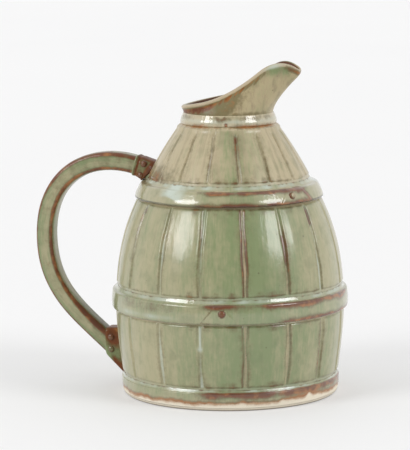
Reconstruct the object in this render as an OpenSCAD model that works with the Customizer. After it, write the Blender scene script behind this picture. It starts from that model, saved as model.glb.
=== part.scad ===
// Barrel-form stoneware pitcher: staved wall, lapped hoops, drawn spout and a cuffed loop handle.
// Millimetres, +Z up. The origin is the centre of the foot, the spout points along +X and the handle along -X.
// Every piece is clay, luted to its neighbour with a thin layer of slip.

/* [Wall] */
// Outer radius of the wall at the foot
foot_r = 69.7; // [62:0.1:74]
// Outer radius of the wall at its widest
belly_r = 75.2; // [70:0.1:82]
// Height of the widest place
belly_z = 57; // [50:0.5:64]
// Outer radius of the wall at the shoulder
shoulder_r = 60.6; // [56:0.1:66]
// Height of the shoulder
shoulder_z = 128; // [120:0.5:136]
// Outer radius of the wall under the neck band
neck_r = 31.4; // [28:0.1:35]
// Height of the cone from the shoulder to the neck
cone_h = 49.5; // [42:0.5:57]
// Wall thickness, measured level
wall_t = 6; // [4:0.1:8]
// Thickness of the floor slab
floor_t = 8; // [5:0.1:12]

/* [Staves] */
// Number of staves round the wall
stave_count = 16; // [8:1:24]
// How far a stave stands out from the wall beneath the hoops
stave_relief = 0.8; // [0.4:0.05:1.5]
// Depth of the seam between two staves
seam_depth = 0.65; // [0.3:0.05:0.7]
// Width of the seam at the belly
seam_w = 2.6; // [1:0.1:5]
// Plain strip between the end of a stave and a hoop
stave_gap = 1.6; // [0.8:0.1:4]
// Height over which the end of a stave slopes back to the wall
stave_edge = 0.5; // [0.2:0.05:1]

/* [Hoops] */
// Height of the base hoop's face
base_hoop_h = 11.2; // [8:0.1:15]
// Thickness of the base hoop
base_hoop_t = 1.7; // [1:0.05:3]
// Height of the belly hoop's lower edge
belly_hoop_z = 57; // [52:0.5:62]
// Height of the belly hoop's face
belly_hoop_h = 12.3; // [8:0.1:16]
// Thickness of the belly hoop at its lower edge
belly_hoop_t = 3.1; // [1:0.05:4]
// Height of the shoulder hoop's lower edge
shoulder_hoop_z = 129.6; // [124:0.1:134]
// Height of the shoulder hoop's face
shoulder_hoop_h = 9.4; // [6:0.1:12]
// Thickness of the shoulder hoop at its lower edge
shoulder_hoop_t = 2.7; // [1:0.05:4]
// Extra thickness of the shoulder hoop at the top of its face
shoulder_hoop_lift = 1.5; // [0:0.05:3]
// Height of the sloping top of a hoop
hoop_bevel = 3; // [1.5:0.1:4]
// How far the face of a hoop swells between its edges
hoop_crown = 0.6; // [0:0.05:1.2]
// Height of the neck band
neck_band_h = 7.2; // [5:0.1:10]
// How far the neck band's lower edge stands out from the collar
neck_band_t = 2.6; // [1.5:0.05:4]
// How far the neck band's upper edge stands out from the collar
neck_band_top_t = 1; // [0.6:0.05:2]

/* [Laps] */
// How far a hoop's lapped end stands out from its face
lap_t = 0.55; // [0.3:0.05:1]
// Length of the belly hoop's lap
belly_lap_l = 15; // [12:0.5:24]
// Direction of the belly hoop's lap
belly_lap_angle = -80.5; // [-180:0.5:180]
// Length of the shoulder hoop's lap
shoulder_lap_l = 22; // [12:0.5:30]
// Direction of the shoulder hoop's lap
shoulder_lap_angle = -29; // [-180:0.5:180]
// Slant of a lap's ends from upright
lap_slant = 40; // [0:1:50]

/* [Spout] */
// Outer radius of the collar inside the neck band
collar_r = 29.2; // [26:0.1:30]
// Outer radius of the rim at the back
rim_r = 29.6; // [26:0.1:33]
// Wall thickness of the spout
mouth_t = 3.6; // [2.5:0.1:4.5]
// Height of the back of the rim above the neck band
rim_back_h = 4.3; // [3:0.1:12]
// Height of the rim above its back where the lip starts to bend over
lip_h = 23.2; // [15:0.1:30]
// Reach of the lip from the axis
lip_reach = 50; // [42:0.1:60]
// How far the bend draws the tip of the lip down from the sweep of the rim
lip_droop = 29.5; // [20:0.1:34]

/* [Handle] */
// Width of the strap, across the jug
handle_w = 13; // [9:0.1:18]
// Thickness of the strap
handle_t = 12.4; // [7:0.1:14]
// Corner radius of the strap
handle_corner_r = 3.2; // [1:0.1:3.4]
// Reach of the strap's middle line from the axis
handle_reach = 126.4; // [112:0.1:140]
// Height of the furthest place of the middle line
handle_mid_z = 99.6; // [90:0.1:110]
// Height at which the upper end meets the wall
handle_top_z = 144.1; // [142:0.1:150]
// Height at which the lower end meets the wall
handle_low_z = 18.3; // [18:0.1:26]
// Rise of the upper end from level as it leaves the wall
handle_top_angle = 25; // [15:0.5:32]
// Rise of the lower end from level as it leaves the wall
handle_low_angle = 45; // [38:0.5:52]

/* [Cuffs] */
// How far a cuff stands out from the strap
cuff_t = 0.9; // [0.5:0.05:2]
// Length of the upper cuff, along the strap
upper_cuff_l = 11; // [8:0.1:16]
// How far the upper cuff spreads at the wall
upper_flare = 1.8; // [0.5:0.1:5]
// Length of the lower cuff at half its height, level from the wall to its upright free face
lower_cuff_l = 11.1; // [9:0.1:16]
// How far the lower cuff's upper side spreads along the strap to the wall
lower_flare = 13; // [3:0.1:15]
// Diameter of a rivet
rivet_d = 4.4; // [2.5:0.1:6]
// Height of a rivet's dome
rivet_h = 1.3; // [0.6:0.05:2]

/* [Hidden] */
$fn = 96;

celadon = "#96a07c";
celadon_buff = "#a8a482";
iron_brown = "#6e4630";
bare_clay = "#dccbb4";

// Slip layer between two pieces, and how far every cut runs past what it cuts
slip = 0.1;
overrun = 12;

// Slopes of the wall's outline: change of radius for a unit of height
foot_slope_share = 0.08;
shoulder_slope_share = -0.5;
neck_slope_share = -0.76;

// Bands in which the curved parts of an outline are drawn
course_bands = 7;
plain_bands = 3;

// Height of the neck, and how far the top of the cone stands out from the collar that it carries
neck_z = shoulder_z + cone_h;
seat_ledge = 1.4;

// Height at which the barrel and the shoulder cone are joined, behind the shoulder hoop
joint_z = shoulder_hoop_z + shoulder_hoop_h / 2;

// The base hoop's bevel is a little lower than the others
base_bevel_share = 0.8;
base_hoop_top = base_hoop_h + base_bevel_share * hoop_bevel;
belly_hoop_top = belly_hoop_z + belly_hoop_h + hoop_bevel;
shoulder_hoop_top = shoulder_hoop_z + shoulder_hoop_h + hoop_bevel;
collar_top = neck_z + neck_band_h;

// The three courses of staves, as [lower end, upper end]
low_course = [base_hoop_top + stave_gap, belly_hoop_z - stave_gap];
mid_course = [belly_hoop_top + stave_gap, shoulder_hoop_z - stave_gap];
top_course = [shoulder_hoop_top + stave_gap, neck_z - stave_gap];

// Value a share t of the way along a cubic that runs from a to b over a span, with a slope at each end
function cubic(a, b, slope_a, slope_b, span, t) =
    a * (1 + 2 * t) * pow(1 - t, 2) + b * t * t * (3 - 2 * t)
    + slope_a * span * t * pow(1 - t, 2) - slope_b * span * t * t * (1 - t);

// Outer radius of the staves at a height
function wall_r(z) =
    z < belly_z ? cubic(foot_r, belly_r, foot_slope_share, 0, belly_z, z / belly_z)
    : z < shoulder_z ? cubic(belly_r, shoulder_r, 0, shoulder_slope_share, shoulder_z - belly_z,
        (z - belly_z) / (shoulder_z - belly_z))
    : cubic(shoulder_r, neck_r, shoulder_slope_share, neck_slope_share, neck_z - shoulder_z,
        (z - shoulder_z) / (neck_z - shoulder_z));

// Outline of the wall from one height to another, moved out by an amount
function wall_line(z0, z1, bands, out) =
    [for (i = [0:bands]) let (z = z0 + (z1 - z0) * i / bands) [wall_r(z) + out, z]];

// Outline of a course of staves, with its sloping ends, and of the plain wall between courses
function stave_line(course) = wall_line(course[0] + stave_edge, course[1] - stave_edge, course_bands, 0);
function plain_line(z0, z1) = wall_line(z0, z1, plain_bands, -stave_relief);

// Outline of a hoop that seats on the plain wall: a swelling face, and a bevel back to the wall above it
function hoop_outline(z0, h, bevel, t_low, t_top, grow) = concat(
    wall_line(z0 + h + bevel + grow, z0 - grow, plain_bands, slip - stave_relief),
    [for (i = [0:course_bands]) let (s = i / course_bands, z = z0 - grow + (h + grow) * s)
        [(wall_r(z0) + t_low) * (1 - s) + (wall_r(z0 + h) + t_top) * s - stave_relief
            + hoop_crown * 4 * s * (1 - s) + grow, z]]);

// A seam: a thin wedge that follows the staves of one course
module seam(course) {
    z0 = course[0] - stave_gap / 2;
    z1 = course[1] + stave_gap / 2;
    wedge = seam_w / belly_r * 180 / PI;
    rotate([0, 0, -wedge / 2])
        rotate_extrude(angle = wedge)
            polygon(concat(wall_line(z0, z1, course_bands, -seam_depth), wall_line(z1, z0, course_bands, overrun)));
}

module seams(course) {
    for (i = [0:stave_count - 1])
        rotate([0, 0, 360 / stave_count * i])
            seam(course);
}

module base_disc() {
    color(bare_clay)
        cylinder(r = foot_r - wall_t - slip, h = floor_t);
}

// The wall from the foot to the shoulder, open at both ends, with two courses of staves
module barrel_wall() {
    inner_foot = low_course[0];
    color(celadon)
        difference() {
            rotate_extrude()
                polygon(concat(
                    plain_line(0, low_course[0]),
                    stave_line(low_course),
                    plain_line(low_course[1], mid_course[0]),
                    stave_line(mid_course),
                    plain_line(mid_course[1], joint_z),
                    wall_line(joint_z, inner_foot, 2 * course_bands, -wall_t),
                    [[foot_r - wall_t, floor_t], [foot_r - wall_t, 0]]));
            seams(low_course);
            seams(mid_course);
        }
}

// The cone from the shoulder to the neck, with the third course of staves and a flat seat for the collar
module shoulder_wall() {
    color(celadon_buff)
        difference() {
            rotate_extrude()
                polygon(concat(
                    plain_line(joint_z, top_course[0]),
                    stave_line(top_course),
                    [[wall_r(top_course[1]) - stave_relief, top_course[1]], [collar_r + seat_ledge, neck_z],
                        [collar_r - mouth_t, neck_z]],
                    wall_line(top_course[1], joint_z, course_bands, -wall_t)));
            seams(top_course);
        }
}

// Outlines of the three hoops, grown all round by an amount
function base_hoop_outline(grow) =
    hoop_outline(0, base_hoop_h, base_hoop_top - base_hoop_h, base_hoop_t, base_hoop_t, grow);
function belly_hoop_outline(grow) =
    hoop_outline(belly_hoop_z, belly_hoop_h, hoop_bevel, belly_hoop_t, belly_hoop_t, grow);
function shoulder_hoop_outline(grow) =
    hoop_outline(shoulder_hoop_z, shoulder_hoop_h, hoop_bevel, shoulder_hoop_t,
        shoulder_hoop_t + shoulder_hoop_lift, grow);

// The lapped end of a hoop: a patch of the hoop's own face, moved out, with two slanted ends
module lap(outline, z0, h, r, length, angle) {
    rotate([0, 0, angle])
        intersection() {
            rotate_extrude()
                polygon([for (p = outline) [p[0] + lap_t, p[1]]]);
            translate([0, 0, z0 + h / 2])
                rotate([90, 0, 90])
                    linear_extrude(height = r + overrun)
                        lap_plan(length, h - 2 * stave_edge);
        }
}

// Plan of a lap, seen square to the hoop: wider at its lower edge
module lap_plan(length, h) {
    lean = h / 2 * tan(lap_slant);
    polygon([[-length / 2 - lean, -h / 2], [length / 2 + lean, -h / 2],
        [length / 2 - lean, h / 2], [-length / 2 + lean, h / 2]]);
}

module base_hoop() {
    color(celadon)
        rotate_extrude()
            polygon(base_hoop_outline(0));
}

module belly_hoop() {
    color(celadon) {
        rotate_extrude()
            polygon(belly_hoop_outline(0));
        lap(belly_hoop_outline(0), belly_hoop_z, belly_hoop_h, belly_r, belly_lap_l, belly_lap_angle);
    }
}

module shoulder_hoop() {
    color(celadon_buff) {
        rotate_extrude()
            polygon(shoulder_hoop_outline(0));
        lap(shoulder_hoop_outline(0), shoulder_hoop_z, shoulder_hoop_h, shoulder_r, shoulder_lap_l,
            shoulder_lap_angle);
    }
}

// The band that covers the joint of the spout and the shoulder, standing on the shoulder's top face
module neck_band() {
    edge = neck_band_top_t / 2;
    color(celadon_buff)
        rotate_extrude()
            polygon([[collar_r + slip, neck_z], [collar_r + neck_band_t - edge, neck_z],
                [collar_r + neck_band_t, neck_z + edge], [collar_r + neck_band_top_t, collar_top - edge],
                [collar_r + edge, collar_top], [collar_r + slip, collar_top]]);
}

// Steps round the spout, up its side and over its rim
spout_steps = 64;
spout_rows = 8;
rim_rows = 5;
// Shares that shape the spout: how far the lip is pinched, how the side flares, the tilt of the rim, and where
// along the lip's reach the rim starts to sweep up and where it starts to bend over
pinch_share = 0.72;
flare_share = 1.38;
rim_tilt_share = 0.209;
sweep_share = -0.25;
bend_share = 0.48;

sweep_x = lip_reach * sweep_share;
bend_x = lip_reach * bend_share;
lip_rise = lip_h - rim_tilt_share * (bend_x + rim_r);

// Plan of the rim's inner edge: a circle drawn out towards the lip and pinched there
function rim_plan(a) = let (r = rim_r - mouth_t, c = (1 + cos(a)) / 2)
    [r * cos(a) + (lip_reach - rim_r) * pow(c, 3), r * sin(a) * (1 - pinch_share * c * c)];

// Direction square to that edge, pointing out
function rim_normal(a) = let (d = rim_plan(a + 1) - rim_plan(a - 1)) [d[1], -d[0]] / norm(d);

// Place in the rim's plan, a share of its thickness out from the inner edge
function rim_place(a, share) = rim_plan(a) + share * mouth_t * rim_normal(a);

// Height of the top of the rim at a distance along the jug: a tilt, a sweep upwards and a bend back down
function rim_top(x) = collar_top + rim_back_h + rim_tilt_share * (x + rim_r)
    + lip_rise * pow(max((x - sweep_x) / (bend_x - sweep_x), 0), 2)
    - lip_droop * pow(max((x - bend_x) / (lip_reach - bend_x), 0), 2);

// One ring of the spout's side: from the collar (rise 0) to the rim (rise 1), inside or outside
function side_ring(rise, side) = [for (i = [0:spout_steps - 1])
    let (a = 360 / spout_steps * i, rim = rim_place(a, side), f = pow(rise, flare_share),
        foot = (collar_r - mouth_t * (1 - side)) * [cos(a), sin(a)], p = foot + (rim - foot) * f,
        top = rim_top(rim_place(a, 0.5)[0]) - mouth_t / 2)
    [p[0], p[1], collar_top + (top - collar_top) * rise]];

// One ring of the rounded rim, at a turn from its outer edge (0) to its inner edge (180)
function rim_ring(turn) = [for (i = [0:spout_steps - 1])
    let (a = 360 / spout_steps * i, p = rim_place(a, (1 + cos(turn)) / 2))
    [p[0], p[1], rim_top(rim_place(a, 0.5)[0]) - mouth_t / 2 * (1 - sin(turn))]];

function collar_ring(inward) = [for (i = [0:spout_steps - 1])
    let (a = 360 / spout_steps * i) [(collar_r - inward) * cos(a), (collar_r - inward) * sin(a), neck_z]];

// A closed ring of rings, each of n points, as a solid
module ring_solid(rings) {
    n = len(rings[0]);
    m = len(rings);
    polyhedron(
        points = [for (ring = rings) each ring],
        faces = [for (j = [0:m - 1], i = [0:n - 1], half = [0, 1])
            let (a = j * n + i, b = j * n + (i + 1) % n, c = (j + 1) % m * n + (i + 1) % n,
                d = (j + 1) % m * n + i)
            half == 0 ? [a, c, b] : [a, d, c]]);
}

// The collar and lip: outside from the collar up, over the rim, and down the inside
module spout() {
    color(celadon_buff)
        ring_solid(concat(
            [collar_ring(0)],
            [for (j = [0:spout_rows]) side_ring(j / spout_rows, 1)],
            [for (j = [1:rim_rows - 1]) rim_ring(180 * j / rim_rows)],
            [for (j = [spout_rows:-1:0]) side_ring(j / spout_rows, 0)],
            [collar_ring(mouth_t)]));
}

// Steps along each half of the handle, along a cuff, and round each corner of the strap
handle_steps = 18;
cuff_steps = 5;
corner_steps = 4;
// Lengths of the curve's four tangents, as shares of the handle's own height
tangent_shares = [0.305, 0.365, 0.332, 0.31];

handle_rise = handle_top_z - handle_low_z;
top_start = [-wall_r(handle_top_z), handle_top_z];
top_way = [-cos(handle_top_angle), sin(handle_top_angle)];
low_start = [-wall_r(handle_low_z), handle_low_z];
low_way = [-cos(handle_low_angle), sin(handle_low_angle)];
far_place = [-handle_reach, handle_mid_z];

top_curve = [top_start, top_start + tangent_shares[0] * handle_rise * top_way,
    far_place + [0, tangent_shares[1] * handle_rise], far_place];
low_curve = [low_start, low_start + tangent_shares[3] * handle_rise * low_way,
    far_place - [0, tangent_shares[2] * handle_rise], far_place];

// Place on a cubic curve of four points, and its direction there
function curve_at(c, t) = pow(1 - t, 3) * c[0] + 3 * pow(1 - t, 2) * t * c[1] + 3 * (1 - t) * t * t * c[2]
    + pow(t, 3) * c[3];
function curve_way(c, t) = let (d = pow(1 - t, 2) * (c[1] - c[0]) + 2 * (1 - t) * t * (c[2] - c[1])
    + t * t * (c[3] - c[2])) d / norm(d);

// Share of a curve that its first stretch of a given length takes up
function stretch_share(c, length) = length / (3 * norm(c[1] - c[0]));

// Outline of a rectangle with round corners: up reaches above the middle line, down below it
function strap_outline(w, up, down, r) = [for (k = [0:3], i = [0:corner_steps])
    let (turn = 90 * (k + i / corner_steps), sx = k == 0 || k == 3 ? 1 : -1, sy = k < 2 ? 1 : -1,
        cy = sy > 0 ? up - r : r - down)
    [sx * (w / 2 - r) + r * cos(turn), cy + r * sin(turn)]];

// That outline set square on the handle's middle line, at a place with a direction.
// Its second coordinate points away from the middle of the loop.
function strap_ring(outline, place, way) = let (out = [way[1], -way[0]])
    [for (p = outline) [place[0] + out[0] * p[1], p[0], place[1] + out[1] * p[1]]];

// A solid through rings, closed by a flat face at each end
module strap_solid(rings) {
    n = len(rings[0]);
    m = len(rings);
    polyhedron(
        points = [for (ring = rings) each ring],
        faces = concat(
            [[for (i = [n - 1:-1:0]) i]],
            [for (j = [0:m - 2], i = [0:n - 1], half = [0, 1])
                let (a = j * n + i, b = j * n + (i + 1) % n, c = (j + 1) * n + (i + 1) % n, d = (j + 1) * n + i)
                half == 0 ? [a, b, c] : [a, c, d]],
            [[for (i = [0:n - 1]) (m - 1) * n + i]]));
}

// Rings of the strap, grown by an amount, from inside the wall at the top to inside the wall below
function handle_rings(grow) =
    let (outline = strap_outline(handle_w + 2 * grow, handle_t / 2 + grow, handle_t / 2 + grow,
            handle_corner_r + grow))
    concat(
        [strap_ring(outline, top_start - overrun * top_way, top_way)],
        [for (i = [0:handle_steps]) let (t = i / handle_steps)
            strap_ring(outline, curve_at(top_curve, t), curve_way(top_curve, t))],
        [for (i = [handle_steps - 1:-1:0]) let (t = i / handle_steps)
            strap_ring(outline, curve_at(low_curve, t), -curve_way(low_curve, t))],
        [strap_ring(outline, low_start - overrun * low_way, -low_way)]);

// Rings of a cuff from inside the wall to its free end, spreading below and above towards the wall
function cuff_rings(curve, way, side, length, flare_in, flare_out) =
    let (end = stretch_share(curve, length))
    [for (i = [-1:cuff_steps])
        let (t = end * max(i, 0) / cuff_steps, spread = 1 - max(i, 0) / cuff_steps,
            place = i < 0 ? curve[0] - overrun * way : curve_at(curve, t), dir = side * curve_way(curve, t),
            outer = handle_t / 2 + cuff_t)
        strap_ring(strap_outline(handle_w + 2 * cuff_t, outer + flare_out * spread, outer + flare_in * spread,
            handle_corner_r + cuff_t), place, dir)];

// What the handle and the cuffs are fitted to: the wall, the two hoops beside them and the neck band, with a
// layer of slip
module seat() {
    rotate_extrude()
        polygon(concat(wall_line(0, neck_z, 4 * course_bands, slip), [[0, neck_z], [0, 0]]));
    rotate_extrude()
        polygon(base_hoop_outline(slip));
    rotate_extrude()
        polygon(shoulder_hoop_outline(slip));
    translate([0, 0, neck_z - slip])
        cylinder(r = collar_r + neck_band_t + slip, h = neck_band_h + 2 * slip);
}

module handle() {
    color(celadon)
        difference() {
            strap_solid(handle_rings(0));
            seat();
        }
}

// What is left of a cuff's solid when the strap and its seat are taken out
module hollow_cuff() {
    color(iron_brown)
        difference() {
            children();
            strap_solid(handle_rings(slip));
            seat();
        }
}

module upper_cuff() {
    hollow_cuff()
        strap_solid(cuff_rings(top_curve, top_way, 1, upper_cuff_l, upper_flare, upper_flare));
}

// The lower cuff ends in an upright face, so its rings run on past that face and are cut there.
// The face stands off the wall at half the cuff's height.
lower_face_x = -wall_r(handle_low_z + handle_t) - lower_cuff_l;

module lower_cuff() {
    run = 2 * (low_start[0] - lower_face_x);
    rings = cuff_rings(low_curve, low_way, -1, run, lower_flare, 0);
    hollow_cuff()
        intersection() {
            strap_solid([for (ring = rings) [for (i = [len(ring) - 1:-1:0]) ring[i]]]);
            translate([lower_face_x, -handle_w, 0])
                cube([low_start[0] - lower_face_x + overrun, 2 * handle_w, handle_mid_z]);
        }
}

// A rivet: a dome on a flat base, standing along +Z
module rivet(sink) {
    dome_r = (pow(rivet_d / 2, 2) + pow(rivet_h, 2)) / (2 * rivet_h);
    intersection() {
        translate([0, 0, rivet_h - dome_r])
            sphere(r = dome_r);
        translate([0, 0, -sink])
            cylinder(d = rivet_d, h = rivet_h + sink);
    }
}

// Places of each cuff's two rivets, as shares of the cuff's length and the strap's thickness: on the upper cuff
// along the strap and away from the loop, on the lower one level from its free face and up from the strap's foot
upper_rivet_shares = [[0.5, 0.28], [0.4, -0.36]];
lower_rivet_shares = [[0.38, 1.18], [0.38, 0.52]];

// A rivet on each side of a cuff, at a place in the plane of the handle
module rivet_pair(place) {
    color(iron_brown)
        for (face = [-1, 1])
            translate([place[0], face * (handle_w / 2 + cuff_t + slip), place[1]])
                rotate([-90 * face, 0, 0])
                    rivet(0);
}

module upper_cuff_rivets() {
    out = [top_way[1], -top_way[0]];
    for (s = upper_rivet_shares)
        rivet_pair(top_start + upper_cuff_l * s[0] * top_way + handle_t * s[1] * out);
}

module lower_cuff_rivets() {
    for (s = lower_rivet_shares)
        rivet_pair([lower_face_x + lower_cuff_l * s[0], handle_low_z + handle_t * s[1]]);
}

// Share of each lap's half length at which its rivet sits
belly_rivet_share = 0.3;
shoulder_rivet_share = -0.42;

// A rivet a distance along a hoop's lap from its middle, its base fitted to the lap's face
module hoop_rivet(outline, z0, h, t, t_top, along, angle) {
    z = z0 + h / 2;
    r = (wall_r(z0) + t + wall_r(z0 + h) + t_top) / 2 - stave_relief + hoop_crown + lap_t;
    tilt = atan2(wall_r(z0) + t - wall_r(z0 + h) - t_top, h);
    turn = angle + along / r * 180 / PI;
    color(iron_brown)
        difference() {
            rotate([0, 0, turn])
                translate([r, 0, z])
                    rotate([0, 90 - tilt, 0])
                        rivet(lap_t);
            rotate_extrude($fn = 10 * $fn)
                polygon([for (p = outline) [p[0] + lap_t + slip, p[1]]]);
        }
}

module belly_hoop_rivet() {
    hoop_rivet(belly_hoop_outline(0), belly_hoop_z, belly_hoop_h, belly_hoop_t, belly_hoop_t,
        belly_rivet_share * belly_lap_l / 2, belly_lap_angle);
}

module shoulder_hoop_rivet() {
    hoop_rivet(shoulder_hoop_outline(0), shoulder_hoop_z, shoulder_hoop_h, shoulder_hoop_t,
        shoulder_hoop_t + shoulder_hoop_lift, shoulder_rivet_share * shoulder_lap_l / 2, shoulder_lap_angle);
}

base_disc();
barrel_wall();
shoulder_wall();
base_hoop();
belly_hoop();
shoulder_hoop();
neck_band();
spout();
handle();
upper_cuff();
lower_cuff();
belly_hoop_rivet();
shoulder_hoop_rivet();
upper_cuff_rivets();
lower_cuff_rivets();
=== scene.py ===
"""Looks of a barrel-form stoneware pitcher: every piece is a surface worked out on a grid of two parameters.

Lengths are millimetres in this script and metres in the meshes. +Z is up, the spout points along +X and the
handle along -X. Angles about the upright axis are radians from +X, against the clock seen from above.
"""
import functools
from dataclasses import dataclass
from types import SimpleNamespace

import bpy
import numpy as np
from mathutils import Matrix, Vector


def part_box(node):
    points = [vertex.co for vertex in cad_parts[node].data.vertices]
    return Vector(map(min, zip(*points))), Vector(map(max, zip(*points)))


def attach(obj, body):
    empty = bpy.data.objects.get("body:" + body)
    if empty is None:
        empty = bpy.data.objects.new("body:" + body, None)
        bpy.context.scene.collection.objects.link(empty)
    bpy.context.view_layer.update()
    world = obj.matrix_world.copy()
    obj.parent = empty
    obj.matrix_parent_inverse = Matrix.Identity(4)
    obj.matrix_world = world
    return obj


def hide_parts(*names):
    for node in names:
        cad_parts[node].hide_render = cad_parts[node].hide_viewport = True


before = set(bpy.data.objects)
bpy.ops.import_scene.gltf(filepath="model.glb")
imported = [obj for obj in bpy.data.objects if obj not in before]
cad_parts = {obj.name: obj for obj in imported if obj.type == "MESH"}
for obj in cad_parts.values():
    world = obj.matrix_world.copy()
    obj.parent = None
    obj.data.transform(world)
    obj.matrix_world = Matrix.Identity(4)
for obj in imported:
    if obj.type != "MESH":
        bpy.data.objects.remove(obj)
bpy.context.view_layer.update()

MM = 0.001
TURN = 2 * np.pi


def low_mm(node):
    """Lowest corner of a CAD node, in millimetres."""
    return np.array(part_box(node)[0]) / MM


def high_mm(node):
    """Highest corner of a CAD node, in millimetres."""
    return np.array(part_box(node)[1]) / MM


# Wall: radii and heights of its outline, and the slopes at the foot, the shoulder and the neck
FOOT_R, BELLY_R, SHOULDER_R, NECK_R = 69.7, 75.2, 60.6, 31.4
BELLY_Z, SHOULDER_Z, NECK_Z = 57.0, 128.0, low_mm("neck_band")[2]
FOOT_SLOPE, SHOULDER_SLOPE, NECK_SLOPE = 0.08, -0.5, -0.76
WALL_T = 6.0
FLOOR_R, FLOOR_T = high_mm("base_disc")[[0, 2]]
JOINT_Z = high_mm("barrel_wall")[2]

# Heights of the hoops
BASE_TOP = high_mm("base_hoop")[2]
BELLY_LOW, BELLY_TOP = low_mm("belly_hoop")[2], high_mm("belly_hoop")[2]
SHOULDER_LOW, SHOULDER_TOP = low_mm("shoulder_hoop")[2], high_mm("shoulder_hoop")[2]

# Staves: count, relief, swell across one, seam width at the belly, and the plain strip left at each hoop
STAVES = 16
PITCH = TURN / STAVES
RELIEF = 0.8
STAVE_CROWN = 0.35
SEAM_W = 2.6
STRIP = 1.6
COURSES = [(BASE_TOP + STRIP, BELLY_LOW - STRIP), (BELLY_TOP + STRIP, SHOULDER_LOW - STRIP),
           (SHOULDER_TOP + STRIP, NECK_Z - STRIP)]

# Direction that the greenest glaze faces, and how far it reaches to both sides: the greener, darker front
# and paler sides are partly painted light
GREEN_SIDE, GREEN_REACH = np.radians(-64), np.radians(35)
# Softness in degrees of the ends of a span of broken glaze
SPAN_SOFT = 9

# Columns of the grids, round the axis or to a stave
STAVE_COLUMNS, HOOP_COLUMNS, BASE_COLUMNS, BAND_COLUMNS, SPOUT_COLUMNS = 32, 640, 720, 480, 320


def smooth(low, high, x):
    """0 below low and 1 above high, joined by an even S curve."""
    t = np.clip((x - low) / (high - low), 0, 1)
    return t * t * (3 - 2 * t)


def ridge(x, centre, width):
    """A bell of height 1 about a centre."""
    return np.exp(-((x - centre) / width) ** 2)


def most(*fields):
    """The largest of several fields, place by place."""
    return functools.reduce(np.maximum, fields)


def unit(vectors):
    """Vectors of the same directions and length 1."""
    return vectors / np.linalg.norm(vectors, axis=-1, keepdims=True)


def even_turn(count):
    """Even angles once round."""
    return np.arange(count) / count * TURN


def arc_from(angle, centre, radius):
    """Length along a circle from a direction to an angle, against the clock and at most half a turn."""
    return ((angle - centre + np.pi) % TURN - np.pi) * radius


def wander(angle, height, seed, turns=(2, 3, 5, 8), lean=0.03):
    """Slow uneven swell of hand-made clay, about -1 to 1: waves round the axis that lean with height."""
    rng = np.random.default_rng(seed)
    total = 0.0
    for n in turns:
        start, drift, share = rng.uniform(0, TURN), rng.uniform(-lean, lean), rng.uniform(0.5, 1)
        total = total + share * np.sin(n * angle + start + drift * height)
    return total * 1.4 / len(turns)


def cubic(a, b, slope_a, slope_b, span, t):
    """Cubic from a to b over a span, with a slope at each end."""
    return (a * (1 + 2 * t) * (1 - t) ** 2 + b * t * t * (3 - 2 * t)
            + slope_a * span * t * (1 - t) ** 2 - slope_b * span * t * t * (1 - t))


def wall_r(z):
    """Outer radius of the staves: three cubics through the foot, belly, shoulder and neck."""
    z = np.asarray(z, float)
    low = cubic(FOOT_R, BELLY_R, FOOT_SLOPE, 0, BELLY_Z, z / BELLY_Z)
    rise = SHOULDER_Z - BELLY_Z
    mid = cubic(BELLY_R, SHOULDER_R, 0, SHOULDER_SLOPE, rise, (z - BELLY_Z) / rise)
    rise = NECK_Z - SHOULDER_Z
    top = cubic(SHOULDER_R, NECK_R, SHOULDER_SLOPE, NECK_SLOPE, rise, (z - SHOULDER_Z) / rise)
    return np.where(z < BELLY_Z, low, np.where(z < SHOULDER_Z, mid, top))


def crowded(count, crowding):
    """Values from 0 to 1 that crowd together at both ends."""
    t = np.linspace(0, 1, count)
    return t - crowding / TURN * np.sin(TURN * t)


def crowded_turn(count, centre, crowding):
    """Angles once round the axis that crowd together about a centre."""
    t = np.arange(count) / count
    return centre + TURN * t - crowding * np.sin(TURN * t)


def seam_angles(count):
    """Angles once round the axis, count to a stave, crowded at the seams."""
    share = crowded(count + 1, 0.78)[:-1]
    return ((np.arange(STAVES)[:, None] + share) * PITCH).ravel()


def around(angle, radius, z):
    """Points at an angle, radius and height, as one array of places."""
    angle, radius, z = np.broadcast_arrays(angle, radius, z)
    return np.stack([radius * np.cos(angle), radius * np.sin(angle), z], -1)


def rounded_loop(corners, radii, steps=6, stretch=1.2):
    """A closed outline with round corners: each corner is a square curve between two places a radius from it,
    and each straight stretch is cut into steps no longer than stretch."""
    corners = np.array(corners, float)
    pull = np.array(radii, float)[:, None]
    start = corners + unit(np.roll(corners, 1, 0) - corners) * pull
    end = corners + unit(np.roll(corners, -1, 0) - corners) * pull
    t = np.linspace(0, 1, steps + 1)[:, None, None]
    arcs = ((1 - t) ** 2 * start + 2 * t * (1 - t) * corners + t * t * end).transpose(1, 0, 2)
    outline = []
    for arc, following in zip(arcs, np.roll(start, -1, 0)):
        run = following - arc[-1]
        cuts = int(np.ceil(np.linalg.norm(run) / stretch))
        outline.append(arc)
        outline.append(arc[-1] + run * np.arange(1, cuts)[:, None] / cuts)
    return np.concatenate(outline)


# Meshes

# Values that the finishes read: how buff, thin, rosy and milky the glaze is, whether it is inside the jug,
# and the height above the line where it ends. Rosy pooling also carries painted light and a painted contact
# shadow, milky pooling painted reflections, and tone and thinness some painted light and shade
FIELDS = ("tone", "thin", "pool", "milk", "inside", "line")


def grid_piece(points, ring=True, run=None, **fields):
    """One grid of places (rows, columns, 3), closed round its columns. A ring closes its rows too, and any
    other grid is closed by a fan at each end. Run is where glaze streaks are read, in millimetres."""
    return {"points": np.asarray(points, float), "ring": ring, "run": run, "fields": fields}


def grid_faces(rows, columns, ring):
    """Corner numbers of a grid's four-sided faces."""
    number = np.arange(rows * columns).reshape(rows, columns)
    number = np.hstack([number, number[:, :1]])
    if ring:
        number = np.vstack([number, number[:1]])
    return np.stack([number[:-1, :-1], number[:-1, 1:], number[1:, 1:], number[1:, :-1]], -1).reshape(-1, 4)


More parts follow.
